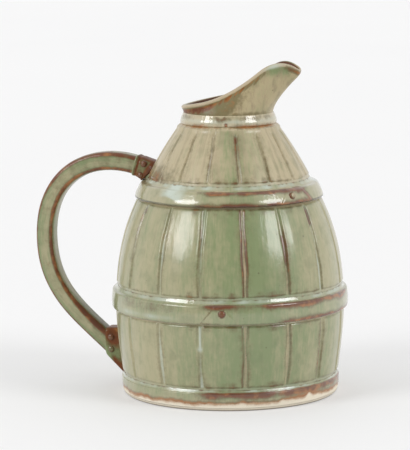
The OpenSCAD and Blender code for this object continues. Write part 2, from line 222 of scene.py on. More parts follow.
def grid_arrays(piece):
    """Flat places, quads, end triangles, run places and fields of one grid, with faces turned outwards."""
    points = piece["points"]
    rows, columns = points.shape[:2]
    run = points if piece["run"] is None else np.broadcast_to(piece["run"], points.shape)
    values = {name: np.broadcast_to(piece["fields"].get(name, 0.0), (rows, columns)) for name in FIELDS}
    places, runs = points.reshape(-1, 3), run.reshape(-1, 3)
    flat = {name: value.ravel() for name, value in values.items()}
    quads = grid_faces(rows, columns, piece["ring"])
    fans = np.zeros((0, 3), int)
    if not piece["ring"]:
        first, last = np.arange(columns), np.arange(columns) + (rows - 1) * columns
        near_middle, far_middle = len(places), len(places) + 1
        places = np.vstack([places, points[0].mean(0), points[-1].mean(0)])
        runs = np.vstack([runs, run[0].mean(0), run[-1].mean(0)])
        flat = {name: np.append(flat[name], [value[0].mean(), value[-1].mean()])
                for name, value in values.items()}
        near = np.stack([np.roll(first, -1), first, np.full(columns, near_middle)], -1)
        far = np.stack([last, np.roll(last, -1), np.full(columns, far_middle)], -1)
        fans = np.vstack([near, far])
    halves = np.vstack([quads[:, [0, 1, 2]], quads[:, [0, 2, 3]], fans])
    a, b, c = (places[halves[:, k]] for k in range(3))
    if np.einsum("ij,ij->", a, np.cross(b, c)) < 0:
        quads, fans = quads[:, ::-1], fans[:, ::-1]
    return places, quads, fans, runs, flat


def make_mesh(name, pieces):
    """One mesh from grids: places, faces, smooth shading and the values that the finishes read."""
    parts = [grid_arrays(piece) for piece in pieces]
    offsets = np.cumsum([0] + [len(part[0]) for part in parts[:-1]])
    places = np.vstack([part[0] for part in parts]) * MM
    quads = np.vstack([part[1] + k for part, k in zip(parts, offsets)])
    fans = np.vstack([part[2] + k for part, k in zip(parts, offsets)])
    corners = np.concatenate([quads.ravel(), fans.ravel()])
    starts = np.concatenate([4 * np.arange(len(quads)), quads.size + 3 * np.arange(len(fans))])
    mesh = bpy.data.meshes.new(name)
    mesh.vertices.add(len(places))
    mesh.vertices.foreach_set("co", places.astype(np.float32).ravel())
    mesh.loops.add(len(corners))
    mesh.loops.foreach_set("vertex_index", corners.astype(np.int32))
    mesh.polygons.add(len(starts))
    mesh.polygons.foreach_set("loop_start", starts.astype(np.int32))
    mesh.polygons.foreach_set("use_smooth", np.ones(len(starts), bool))
    mesh.update(calc_edges=True)
    run = mesh.attributes.new("run", "FLOAT_VECTOR", "POINT")
    run.data.foreach_set("vector", np.vstack([part[3] for part in parts]).astype(np.float32).ravel())
    for field in FIELDS:
        values = np.concatenate([part[4][field] for part in parts])
        stored = mesh.attributes.new(field, "FLOAT", "POINT")
        stored.data.foreach_set("value", values.astype(np.float32))
    return mesh


def make_piece(node, pieces, material):
    """A finished object that stands for a CAD node, rides on the jug and takes a slot's finish."""
    piece = bpy.data.objects.new(node + "_glazed", make_mesh(node + "_glazed", pieces))
    piece.data.materials.append(material)
    bpy.context.scene.collection.objects.link(piece)
    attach(piece, "root")
    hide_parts(node)


def patches(angle, spans, seed):
    """Share of broken glaze at an angle: uneven between each pair of angles in degrees, none elsewhere."""
    degrees = (np.degrees(angle) + 180) % 360 - 180
    cover = np.zeros_like(degrees)
    for a, b in spans:
        begun = smooth(a - SPAN_SOFT, a + SPAN_SOFT, degrees)
        cover = cover + begun * (1 - smooth(b - SPAN_SOFT, b + SPAN_SOFT, degrees))
    return np.clip(cover * (0.95 + 0.35 * wander(angle, 0, seed, turns=(9, 14, 23, 37))), 0, 1.15)


def buff_tone_and_side_light(angle, seed):
    """How buff the glaze is at an angle, about -1 to 1: greenest and darkest towards the front, paler at the
    sides. Partly the glaze's own tone, partly painted light.
    """
    from_green = arc_from(angle, GREEN_SIDE, 1) / GREEN_REACH
    return 0.9 - 1.75 * np.exp(-from_green ** 2) + 0.3 * wander(angle, 0, seed, turns=(3, 5, 8))


def upright_run(angle, z):
    """Where glaze streaks are read on a turned wall: round a cylinder, with heights drawn together so that
    streaks run up and down."""
    return around(angle, BELLY_R, z * 0.2)


# Wall with its staves

# How each seam looks, by its number round the jug: strength of the dark lines on its left and right edges,
# rosy share of its groove, milky share, and the heights between which brown fills it, if it does
LOWER_SEAMS = {9: (0.1, 0.1, 0, 0.4), 10: (0.1, 0.22, 0, 0.5), 11: (0.18, 0.32, 0, 0.6),
               12: (0.33, 0.33, 0, 0.6), 13: (0.62, 0.42, 0.6, 0.1), 14: (0.35, 0.42, 0.6, 0),
               15: (0.75, 0.4, 0.2, 0.1), 0: (0, 0, 0.2, 0.5)}
MIDDLE_SEAMS = {9: (0.15, 0.1, 0, 0.2), 10: (0.42, 0.2, 0, 0.1, 122, 128), 11: (0.28, 0.44, 0, 0.5),
                12: (0.5, 0.2, 0, 0.55), 13: (1.0, 0.85, 0.85, 0), 14: (0.35, 0.7, 0.6, 0.3, 93, 113),
                15: (0.3, 0.36, 0, 0.6, 115, 128), 0: (0, 0, 0.2, 0.5)}
CONE_SEAMS = {9: (0.05, 0.05, 0.2, 0.2), 10: (0.1, 0.1, 0.2, 0.2), 11: (0.2, 0.3, 0, 0.1),
              12: (0.42, 0.26, 0, 0.35), 13: (0.65, 0.45, 0.6, 0, 167, 176), 14: (0.22, 0.5, 0, 0.3),
              15: (0.05, 0.12, 0.3, 0.2), 0: (0, 0, 0.3, 0.3)}
# Look of a seam that isn't listed, and the heights of a seam that isn't filled
ORDINARY_SEAM = (0.5, 0.5, 0.15, 0.15)
NOT_FILLED = (0, 0)
LOOKS = len(ORDINARY_SEAM + NOT_FILLED)
# How buff each stave is beside its neighbours, by the number of the seam it follows. Others differ at random.
LOWER_TONES = {9: 0.0, 10: 0.05, 11: -0.3, 12: 0.0, 13: -0.1, 14: -0.35, 15: -0.5}
MIDDLE_TONES = {9: 0.0, 10: -0.1, 11: 0.15, 12: 0.1, 13: -0.1, 14: -0.15, 15: 0.15}
CONE_TONES = {9: 0.1, 10: 0.0, 11: 0.0, 12: -0.65, 13: -0.15, 14: 0.2, 15: 0.3}
# How much wider the seams of the lower course are
LOWER_WIDENING = 1.2
# Distances onto a stave over which it rises, from its seam and from its end
SIDE_EDGE, END_EDGE = (-0.7, 0.55), (-0.5, 0.7)
# Seam that a drip of milky glaze ran down, the height of the bead at its end, and the sizes of both
DRIP_SEAM, DRIP_END, DRIP_W, DRIP_BEAD = 12, 40.5, 1.1, 2.3
# Height where the plain bead under the neck band begins, and heights between which the cone's seams fade out
BEAD_LOW, CONE_FADE = NECK_Z - 9, (NECK_Z - 7, NECK_Z - 3)
# Spans in degrees where the ends of the staves, and the line under the neck band, are spotted with rust
PANEL_RUST = [(-102, -28), (40, 140)]
BAND_RUST = [(-125, -105), (-68, -15), (60, 160)]
# Distances along the wall from the handle between which an olive smear about its upper root thins out:
# partly a glaze run, partly painted shade from the handle
SMEAR_AND_SHADE_REACH = (72, 30)


def stave_shape(angle, z, seed):
    """Distances in millimetres onto a stave from its seam and from its end, with a hand's unevenness, and the
    number of the nearest seam."""
    rng = np.random.default_rng(seed)
    seam = np.round(angle / PITCH).astype(int) % STAVES
    phase = rng.uniform(0, TURN, (4, STAVES))[:, seam]
    radius = wall_r(z)
    offset = (angle / PITCH - np.round(angle / PITCH)) * PITCH * radius
    offset = offset + 0.22 * np.sin(z / 9 + phase[0]) + 0.12 * np.sin(z / 3.1 + phase[1])
    wide = np.where(z < BELLY_Z, LOWER_WIDENING, 1.0)
    half = SEAM_W / 2 * radius / BELLY_R * (1 + 0.18 * np.sin(z / 6 + phase[2])) * wide
    end = np.max([np.minimum(z - low, high - z) for low, high in COURSES], axis=0)
    end = end + 0.18 * np.sin(7 * angle + phase[3])
    return np.abs(offset) - half, end, seam


def staved_face(heights, seed, fade):
    """The outer face of a ring of wall: its angles and heights, how far each place lies onto a stave from its
    seam and its end, and shares from 0 to 1 of groove, of plain strip at a hoop, of bead under the neck band
    and of drip. Seams fade out between the two heights of fade."""
    face = SimpleNamespace(angle=seam_angles(STAVE_COLUMNS)[None, :], z=heights[:, None])
    face.side, face.end, face.seam = stave_shape(face.angle, face.z, seed)
    face.seamed = 1 - smooth(*fade, face.z) if fade else 1.0
    face.bead = smooth(BEAD_LOW, BEAD_LOW + 1, face.z)
    face.groove = (1 - smooth(*SIDE_EDGE, face.side)) * face.seamed
    face.strip = (1 - smooth(*END_EDGE, face.end)) * (1 - face.bead)
    beside = (face.angle - DRIP_SEAM * PITCH) * BELLY_R
    run_down = smooth(DRIP_END - 1, DRIP_END + 1, face.z) * smooth(BELLY_LOW, BELLY_LOW - 3, face.z)
    run_end = ridge(np.hypot(beside, face.z - DRIP_END), 0, DRIP_BEAD)
    face.drip = most(ridge(beside, 0, DRIP_W) * run_down, run_end)
    return face


def face_radius(face, seed):
    """Radius of a staved face: the wall's outline, sunk between staves that are crowned and a little raised
    beside their seams, with a hand's unevenness, the bead under the neck band and the drip."""
    angle, z = face.angle, face.z
    sunk = 1 - (1 - face.groove) * (1 - face.strip)
    across = 2 * (angle / PITCH - np.floor(angle / PITCH)) - 1
    swell = 0.08 * (1 + wander(angle, z, seed))
    ripple = 0.03 * (1 + wander(angle, z, seed + 8, turns=(53, 71, 97), lean=0.4))
    lips = 0.15 * ridge(face.side, 0.9, 0.6) * smooth(0, 1, face.end) * face.seamed
    bead = 0.7 * ridge(z, NECK_Z - 1.9, 1.2) - 0.3 * smooth(NECK_Z - 1, NECK_Z, z)
    radius = wall_r(z) - RELIEF * sunk - swell - STAVE_CROWN * across ** 2 - ripple
    return radius + lips + face.bead * bead + 0.8 * RELIEF * face.drip


def course_looks(face, courses, chance):
    """Look of the nearest seam and tone of the stave at every place of a face. Courses holds heights, each
    with the looks of the seams and the tones of the staves above it, and chance the tones not listed."""
    stave = np.floor(face.angle / PITCH).astype(int) % STAVES
    looks, tone = [np.zeros(face.side.shape)] * LOOKS, np.zeros(face.side.shape)
    for start, seams, tones in courses:
        above = face.z > start
        table = [(seams.get(k, ORDINARY_SEAM) + NOT_FILLED)[:LOOKS] for k in range(STAVES)]
        looks = [np.where(above, new[face.seam], old) for new, old in zip(np.array(table, float).T, looks)]
        by_stave = np.array([tones.get(k, chance[k]) for k in range(STAVES)])
        tone = np.where(above, by_stave[stave], tone)
    return looks, tone


def wall_fields(face, seed, courses, sway):
    """Glaze of a staved face: dark lines beside the seams, rosy, milky or brown glaze in them, olive shade
    towards them, rust at the ends of the staves, painted light on the plain strips under the hoops, and a
    tone
    for each stave. Sway is how far the side that a stave faces sets its tone, which is partly painted light:
    paler at the sides, darker and greener in front."""
    angle, z, side, end, groove = face.angle, face.z, face.side, face.end, face.groove
    rng = np.random.default_rng(seed + 1)
    chance = rng.uniform(-0.3, 0.3, STAVES)
    (left, right, rosy, milky, fill_low, fill_high), stave_tone = course_looks(face, courses, chance)
    has_fill = fill_high > 0
    filled = smooth(fill_low - 1.5, fill_low + 1.5, z) * (1 - smooth(fill_high - 4, fill_high + 1, z))
    filled = filled * has_fill
    # Edge lines come and go along a seam, and are faint above the brown that fills it
    beat = np.sin(z / rng.uniform(5, 11, STAVES)[face.seam] + rng.uniform(0, TURN, STAVES)[face.seam])
    edge = np.where(angle / PITCH > np.round(angle / PITCH), right, left)
    edge = edge * (1 - 0.7 * smooth(fill_high, fill_high + 4, z) * has_fill)
    lines = ridge(side, 0.2, 1.0) * smooth(-0.8, 0.4, end) * face.seamed
    lines = lines * np.clip(edge * (1 + 0.22 * beat), 0, 1.1)
    shade = ridge(side, 0.0, 3.6) * smooth(-0.5, 3, end) * (1 + 0.5 * wander(angle, z, seed + 6, lean=0.1))
    dotted = np.clip(0.5 + 0.6 * wander(angle, z, seed + 4, turns=(11, 19, 31, 53)), 0, 1)
    rust = patches(angle, PANEL_RUST, seed + 2)
    lower = np.min([np.abs(z - low) for low, _ in COURSES], axis=0) < 8
    ends = ridge(end, 0.4, np.where(lower, 1.3, 0.9)) * smooth(-0.4, 0.6, side) * (1 - face.bead)
    spatter = 0.5 * ridge(end, 2.0, 2.2) * dotted * rust * (1 - face.bead)
    band_line = ridge(z, NECK_Z - 0.2, 1.2)
    # Olive smear about the handle's upper root: partly a glaze run and partly painted shade from the handle
    smear_and_shade = smooth(*SMEAR_AND_SHADE_REACH, np.abs(arc_from(angle, np.pi, wall_r(z)))) * ridge(z, HANDLE_TOP_Z - 3, 11)
    thin = most(lines, shade * (0.14 + 0.26 * edge), ends * (0.14 + dotted * (0.16 + 0.5 * rust)), spatter,
                0.95 * filled * groove, 0.3 * groove * (1 - rosy) * (1 - milky),
                band_line * (0.3 + 0.4 * patches(angle, BAND_RUST, seed + 7)), smear_and_shade * (0.45 + 0.5 * dotted))
    middle = (1 - smooth(-1.2, 0.2, side)) * face.seamed * smooth(-0.5, 0.5, end)
    # Pooling at a course's lower end is real; the paler strip under each hoop is painted light against the
    # shade under its edge
    pool = most(middle * rosy * (1 - filled), face.strip * np.where(lower, 0.3, 0.6))
    milk = most(middle * milky * (0.8 + 0.3 * beat), 0.35 * face.strip * lower, 0.8 * face.drip)
    # The tone by the side faced is partly painted light
    tone = stave_tone * smooth(0.3, 2.5, side) + sway * buff_tone_and_side_light(angle, seed + 3) + 3 * band_line
    return {"tone": tone - 2 * filled * groove, "thin": thin * (1 - 0.9 * face.drip), "pool": pool,
            "milk": milk}


def wall_piece(name, material, z_out, z_in, seed, courses, sway=1.0, fade=None):
    """A ring of wall: a staved outer face up one list of heights, and back down the other a plain inner face,
    a wall's thickness inside the outline, with faint throwing rings."""
    face = staved_face(z_out, seed, fade)
    outer = around(face.angle, face_radius(face, seed), face.z)
    back = z_in[:, None]
    rise = smooth(FLOOR_T, COURSES[0][0], back)
    rings = 0.15 * np.sin(back * 1.3 + face.angle)
    inner_r = (FOOT_R - WALL_T) * (1 - rise) + (wall_r(back) - WALL_T) * rise + rings
    inner = around(face.angle, inner_r, back)
    blank = np.zeros(inner.shape[:2])
    fields = {field: np.vstack([np.broadcast_to(values, outer.shape[:2]), blank])
              for field, values in wall_fields(face, seed, courses, sway).items()}
    inside = np.vstack([np.zeros(outer.shape[:2]), blank + 1])
    run = upright_run(face.angle, np.concatenate([z_out, z_in])[:, None])
    grid = grid_piece(np.vstack([outer, inner]), run=run, inside=inside, **fields)
    make_piece(name, [grid], material)


def between_hoops(low, high, count):
    """Heights from just under one hoop to just under the next, crowded at both ends."""
    return low - 1 + (high - low + 2) * crowded(count, 0.85)


# Hoops, each a section carried round the axis

# How far a hoop's face swells, and how far its hidden back is sunk in the wall
CROWN, BURY = 0.6, 0.6
LAP_SLANT = np.radians(40)
# Height of a hoop's rivet on its face, as a share
RIVET_RISE = 0.58


@dataclass
class Lap:
    """The lapped tongue of a hoop: its place and length, how far along it the rivet sits, how far it rises,
    the width of its outline and how dark that is on the left and the right, and how rosy the rivet is."""
    angle: float
    length: float
    rivet: float
    rise: float
    line_w: float
    left: float
    right: float
    rosy: float


@dataclass
class Hoop:
    """A hoop: height of its lower edge and of its face, thickness at the face's lower and upper edges, spans
    in degrees of brown on both edges with the brown's height, spans of milky drips and of painted shade and
    reflection on its face, its lap, the height of its sloping top, where and how far its face swells, the
    rounding of its lower edge, and how far out the hollow of its top lies."""
    low: float
    height: float
    low_t: float
    top_t: float
    seed: int
    top_brown: list
    top_brown_h: float
    low_brown: list
    low_brown_h: float
    drips: list
    soft: list = ()
    lap: Lap = None
    bevel: float = 3.0
    crest: float = 0.4
    crown: float = CROWN
    low_round: float = 1.2
    lean: float = 0.34

    def edges(self):
        """Radius and height of the face's lower and upper edges."""
        top_z = self.low + self.height
        return (np.array([float(wall_r(self.low)) + self.low_t - RELIEF, self.low]),
                np.array([float(wall_r(top_z)) + self.top_t - RELIEF, top_z]))


BASE_BEVEL, BASE_T = 2.4, 1.7
BASE_HOOP = Hoop(low=0.0, height=BASE_TOP - BASE_BEVEL, low_t=BASE_T, top_t=BASE_T, seed=34,
                 top_brown=[(-91, 15), (80, 160)], top_brown_h=3.6, low_brown=[], low_brown_h=1.0,
                 drips=[(25, 45)], bevel=BASE_BEVEL, low_round=2.4, lean=0.52)
BELLY_HOOP = Hoop(low=BELLY_LOW, height=BELLY_TOP - BELLY_LOW - Hoop.bevel, low_t=3.1, top_t=3.1, seed=71,
                  top_brown=[(-88, -70), (-62, 5), (100, 150)], top_brown_h=3.2,
                  low_brown=[(-50, 12), (70, 140)], low_brown_h=2.8,
                  drips=[(30, 45)], soft=[(-140, -100), (20, 80)],
                  lap=Lap(angle=np.radians(-80.5), length=15.0, rivet=2.25, rise=0.25, line_w=0.6,
                          left=0.5, right=0.25, rosy=0.0))
SHOULDER_HOOP = Hoop(low=SHOULDER_LOW, height=SHOULDER_TOP - SHOULDER_LOW - Hoop.bevel, low_t=2.7, top_t=3.9,
                     seed=81, top_brown=[(-92, -18), (90, 140)], top_brown_h=2.4,
                     low_brown=[(-95, -18), (60, 150)], low_brown_h=2.6,
                     drips=[(-121, -105), (10, 40), (150, 165)], soft=[(20, 80)], crest=0.26, crown=0.8,
                     lap=Lap(angle=np.radians(-29), length=22.0, rivet=-4.62, rise=0.5, line_w=2.4,
                             left=0.1, right=0.95, rosy=0.8))
# Line where the glaze ends at the foot: height, rise at the front, how far the rise reaches, and a chip
LINE_Z, LINE_RISE, LINE_REACH = 4.6, 1.7, 55
CHIP_ANGLE, CHIP_H, CHIP_W = np.radians(-29.5), 2.2, 2.2


def on_tongue(hoop, angle, z, radius):
    """Distance onto a hoop's lapped tongue from its slanted ends and long edges, in millimetres. The tongue
    is longer at its lower edge."""
    arc = np.abs(arc_from(angle, hoop.lap.angle, radius))
    up = z - (hoop.low + hoop.height / 2)
    ends = (hoop.lap.length / 2 - up * np.tan(LAP_SLANT) - arc) * np.cos(LAP_SLANT)
    return np.minimum(ends, hoop.height / 2 - 0.6 - np.abs(up))


def hoop_section(hoop):
    """Section of a hoop: a face that swells most at a share of its height, rounded edges, a hollow of pooled
    glaze above it that runs up onto the wall, and a hidden back."""
    low, top = hoop.edges()
    back_z = top[1] + hoop.bevel
    swell = low * (1 - hoop.crest) + top * hoop.crest + [hoop.crown, 0]
    back_low, back_top = float(wall_r(hoop.low)) - RELIEF, float(wall_r(back_z)) - RELIEF
    wall_top = np.array([back_top + 0.08, back_z])
    hollow = wall_top + (top - wall_top) * [hoop.lean, 0.85]
    shelf, climb = np.linalg.norm(top - hollow), np.linalg.norm(hollow - wall_top)
    corners = [(back_low - BURY, hoop.low), low, swell, top, hollow, wall_top, (back_top - BURY, back_z)]
    radii = [0.2, hoop.low_round, 0.24 * hoop.height, 0.45 * shelf, min(0.5 * shelf, 0.85 * climb), 0.1, 0.1]
    return rounded_loop(corners, radii)


def hoop_fields(hoop, section, angle):
    """Glaze of a hoop: broken brown along both edges of its face where its spans say, a dark line under it,
    pits above it, a rosy painted highlight just above its top edge where that is brown, and milky pooled
    glaze in the hollow of its top, with drips."""
    low, top = hoop.edges()
    seed = hoop.seed
    to_top = np.hypot(*(section - top).T)[:, None]
    to_low = np.hypot(*(section - low).T)[:, None]
    above = (section[:, 1] - top[1])[:, None]
    up_bevel = above / hoop.bevel
    ragged = 1 + 0.3 * wander(angle, 0, seed + 6, turns=(5, 11, 18, 29))
    reach = np.where(above > 0, 1.8, hoop.top_brown_h * ragged)
    upper = ridge(to_top / reach, 0, 1) * smooth(0.6, 0.2, up_bevel)
    lower = ridge(to_low / (hoop.low_brown_h * ragged), 0, 1)
    top_spans = patches(angle, hoop.top_brown, seed)
    brown = 1.2 * most(upper * top_spans, lower * patches(angle, hoop.low_brown, seed + 1))
    dots = np.clip(0.3 + 0.9 * wander(angle, 0, seed + 10, turns=(31, 47, 71, 97)), 0, 1)
    edge_line = 0.35 * ridge(to_low, 0.0, 1.2) + (0.25 + 0.5 * dots) * ridge(up_bevel, 1.0, 0.25)
    milk = 0.46 + 0.4 * wander(angle, above, seed + 2, turns=(7, 12, 19, 33), lean=0.5)
    cloud = wander(angle, 3 * above, seed + 8, turns=(9, 16, 27), lean=0.5)
    drip = patches(angle, hoop.drips, seed + 7) * smooth(-7.5, -3.0, above + 2.5 * cloud)
    milk = np.clip(most(smooth(0.1, 0.45, up_bevel) * milk, drip), 0, 1)
    # The rosy line just above the face's top edge is a painted highlight
    return most(brown, edge_line), milk, 0.6 * ridge(up_bevel, 0.15, 0.15) * top_spans


def hoop_piece(name, material, hoop):
    """A hoop: its section carried round the axis, a little uneven by hand, with a raised lapped tongue and
    the pale ring of glaze round the tongue's rivet."""
    section, lap, seed = hoop_section(hoop), hoop.lap, hoop.seed
    angle = crowded_turn(HOOP_COLUMNS, lap.angle, 0.75)[None, :]
    r, z = section[:, :1], section[:, 1:]
    face_z = (z - hoop.low) / hoop.height
    proud = r - wall_r(z) + RELIEF
    out, raised = smooth(0.3, 1.2, proud), smooth(0.5, 1.5, proud)
    lift = 0.3 * (wander(angle, 0, seed + 3, turns=(4, 7, 13)) - 0.5)
    height = z + out * smooth(0, 1, face_z) * lift
    mid_r = np.mean(hoop.edges(), axis=0)[0] + CROWN
    on = on_tongue(hoop, angle, z, mid_r)
    radius = r - out * 0.1 * (1 + wander(angle, z, seed, turns=(3, 5, 7, 12)))
    radius = radius + lap.rise * smooth(-0.4, 0.4, on) * raised
    thin, milk, pool = hoop_fields(hoop, section, angle)
    # Where it is soft, light is painted on the face: painted shade darkens its upper half and a painted
    # reflection makes its lower half a little milky
    soft = patches(angle, hoop.soft, seed + 9)
    upper_half = smooth(0.38, 0.62, face_z) * smooth(1.1, 0.9, face_z)
    right = smooth(-2, 2, arc_from(angle, lap.angle, mid_r))
    outline = ridge(on, 0.25, lap.line_w) * raised * (lap.left * (1 - right) + lap.right * right)
    along_rivet = arc_from(angle, lap.angle + lap.rivet / mid_r, mid_r)
    from_rivet = np.hypot(along_rivet, (face_z - RIVET_RISE) * hoop.height)
    thin = most(thin, (0.08 + 0.28 * soft) * upper_half, outline, 0.7 * ridge(from_rivet, 2.2, 0.4) * raised)
    milk = most(milk, 0.5 * ridge(face_z, 0.25, 0.2) * soft)
    pool = most(pool, 0.45 * ridge(from_rivet, 3.0, 0.7) * raised)
    # Tone follows the side that the hoop faces, partly as painted light
    grid = grid_piece(around(angle, radius, height), thin=thin, pool=pool, milk=milk,
                      tone=0.5 * buff_tone_and_side_light(angle, seed + 5), run=upright_run(angle, z))
    make_piece(name, [grid], material)


def base_hoop_piece(material):
    """The base hoop: glazed down to a wavy line, with bare clay below it and a thin step at the line."""
    section = hoop_section(BASE_HOOP)
    angle = even_turn(BASE_COLUMNS)[None, :]
    r, z = section[:, :1], section[:, 1:]
    arc = arc_from(angle, CHIP_ANGLE, FOOT_R)
    waves = 0.8 * wander(angle, 0, 31, turns=(2, 5, 9, 17)) + 0.4 * wander(angle, 0, 32, turns=(31, 47, 66))
    line = z - (LINE_Z + LINE_RISE * ridge(arc, 0, LINE_REACH) + waves + CHIP_H * ridge(arc, 0, CHIP_W))
    out = smooth(0.3, 1.2, r - wall_r(z) + RELIEF)
    radius = r - out * 0.12 * (1 + wander(angle, z, 33)) - out * 0.25 * (1 - smooth(-0.35, 0.35, line))
    thin, milk, pool = hoop_fields(BASE_HOOP, section, angle)
    halo = ridge(line, 0.2, 1.9) * (0.8 + 0.35 * wander(angle, 0, 35, turns=(3, 7, 12, 19)))
    # Painted contact shadow: a dark line where the foot rests
    pool = most(pool, smooth(1.5, 0.3, z))
    thin = most(thin * smooth(0, 1.5, line), halo)
    # Tone follows the side faced, partly as painted light, and is ochre by the glaze line
    tone = 0.5 * buff_tone_and_side_light(angle, 36) + 2 * ridge(line, 0, 2)
    grid = grid_piece(around(angle, radius, z), thin=thin, milk=milk, pool=pool, line=line, tone=tone,
                      run=upright_run(angle, z))
    make_piece("base_hoop", [grid], material)


def base_disc_piece(material):
    """The floor slab: a turned disc with a rounded edge, bare below and glazed brown above."""
    edge = 0.6
    spread = np.linspace(0.02, 1, 24) * (FLOOR_R - edge)
    under = np.stack([spread, 0.15 * smooth(0.3, 0.8, 1 - spread / FLOOR_R)], -1)
    rim = np.array([[FLOOR_R, edge], [FLOOR_R, FLOOR_T - edge]])
    over = np.stack([spread, FLOOR_T - 0.4 * smooth(0.7, 0, spread / FLOOR_R)], -1)[::-1]
    section = np.vstack([under, rim, over])
    z = section[:, 1:]
    above = smooth(0.4 * FLOOR_T, 0.6 * FLOOR_T, z)
    points = around(even_turn(160)[None, :], section[:, :1], z)
    grid = grid_piece(points, ring=False, inside=above, line=4 * above - 2)
    make_piece("base_disc", [grid], material)


# Neck band and spout

COLLAR_R, RIM_R, MOUTH_T = 29.2, 29.6, 3.6
COLLAR_TOP = high_mm("neck_band")[2]
# Neck band: thickness below and above, height of its thickest place, and where its ends meet
BAND_LOW_T, BAND_TOP_T, BAND_ROLL_H = 2.6, 1.0, 2.6
BAND_NOTCH = np.radians(-78)
# Rim and lip: heights over the collar, reach, pinch at the tip, flare, tilt, and where it sweeps up and bends
RIM_BACK_H, LIP_H, LIP_DROOP = 4.3, 23.2, 29.5
LIP_REACH = 50.0
PINCH, FLARE, RIM_TILT = 0.72, 1.38, 0.209
SWEEP_X, BEND_X = -0.25 * LIP_REACH, 0.48 * LIP_REACH
# Share of the spout's thickness that is left off inside
THINNED = 0.1
# How far the rim's crest stays under its measured height
CREST_DROP = 0.2
# Where the lip is blunted, and over what length
TIP_X, TIP_SOFT = 48.4, 0.8
# Smudges on the neck band, and rust at the spout's foot, as spans in degrees
NOTCH_SMUDGE, BAND_SMUDGES = [(-92, -72)], [(-160, -125), (-64, -10), (60, 150)]
FOOT_RUST = [(-150, -100), (-75, -20), (60, 160)]


def neck_band_piece(material):
    """The band under the spout: a low roll that thins out upwards onto the spout, with a notch where its ends
    meet."""
    inner, low_r, top_r = COLLAR_R - 0.4, COLLAR_R + BAND_LOW_T, COLLAR_R + BAND_TOP_T
    corners = [(inner, NECK_Z), (low_r - 0.3, NECK_Z), (low_r - 0.15, NECK_Z + BAND_ROLL_H),
               (top_r - 0.65, COLLAR_TOP), (inner, COLLAR_TOP)]
    section = rounded_loop(corners, [0.2, 0.8, 1.7, 0.3, 0.2], stretch=0.5)
    angle = crowded_turn(BAND_COLUMNS, BAND_NOTCH, 0.8)[None, :]
    r, z = section[:, :1], section[:, 1:]
    up = z - NECK_Z
    out = smooth(0.4, 1.2, r - inner)
    notch = ridge(arc_from(angle, BAND_NOTCH, COLLAR_R), 0.0, 1.1) * smooth(3.2, 1.8, up)
    radius = r - out * (0.06 * (1 + wander(angle, z, 41, turns=(3, 5, 8))) + 0.8 * notch)
    line = ridge(up, 0.3, 1.5) * (0.25 + 0.4 * patches(angle, BAND_RUST, 42))
    smudge = 0.75 * patches(angle, NOTCH_SMUDGE, 43) + 0.42 * patches(angle, BAND_SMUDGES, 45)
    smudge = smudge * ridge(up, 5.2 + 0.8 * wander(angle, 0, 46, turns=(9, 17, 29)), 2.0)
    grid = grid_piece(around(angle, radius, z), thin=most(line, smudge, 1.2 * notch) * out,
                      milk=0.5 * ridge(up, 3.4, 2.2) * out, run=upright_run(angle, z),
                      tone=0.3 + 0.4 * wander(angle, z, 44) + 2 * ridge(up, 0.0, 1.6))
    make_piece("neck_band", [grid], material)


def rim_plan(a):
    """Plan of the rim's inner edge: a circle drawn out towards the lip and pinched there."""
    r, c = RIM_R - MOUTH_T, (1 + np.cos(a)) / 2
    return np.stack([r * np.cos(a) + (LIP_REACH - RIM_R) * c ** 3, r * np.sin(a) * (1 - PINCH * c * c)], -1)


def rim_normal(a, step=0.01):
    """Direction square to the rim's inner edge, pointing out."""
    d = rim_plan(a + step) - rim_plan(a - step)
    return unit(np.stack([d[..., 1], -d[..., 0]], -1))


def rim_top(a):
    """Height of the top of the rim: a tilt, a sweep upwards and a bend back down at the lip."""
    x = (rim_plan(a) + 0.5 * MOUTH_T * rim_normal(a))[:, 0]
    rise = LIP_H - RIM_TILT * (BEND_X + RIM_R)
    sweep = np.maximum((x - SWEEP_X) / (BEND_X - SWEEP_X), 0) ** 2
    bend = np.maximum((x - BEND_X) / (LIP_REACH - BEND_X), 0) ** 2
    return COLLAR_TOP + RIM_BACK_H + RIM_TILT * (x + RIM_R) + rise * sweep - LIP_DROOP * bend


def spout_side(a, rise, side):
    """Rows of the spout's side from the collar (rise 0) to the rim (rise 1), inside (0) or outside (1)."""
    rim = rim_plan(a) + side * MOUTH_T * rim_normal(a)
    foot = (COLLAR_R - MOUTH_T * (1 - side)) * np.stack([np.cos(a), np.sin(a)], -1)
    share = rise[:, None]
    plan = foot + (rim - foot) * share[..., None] ** FLARE
    z = COLLAR_TOP + (rim_top(a) - MOUTH_T / 2 - COLLAR_TOP) * share
    return np.concatenate([plan, z[..., None]], -1)


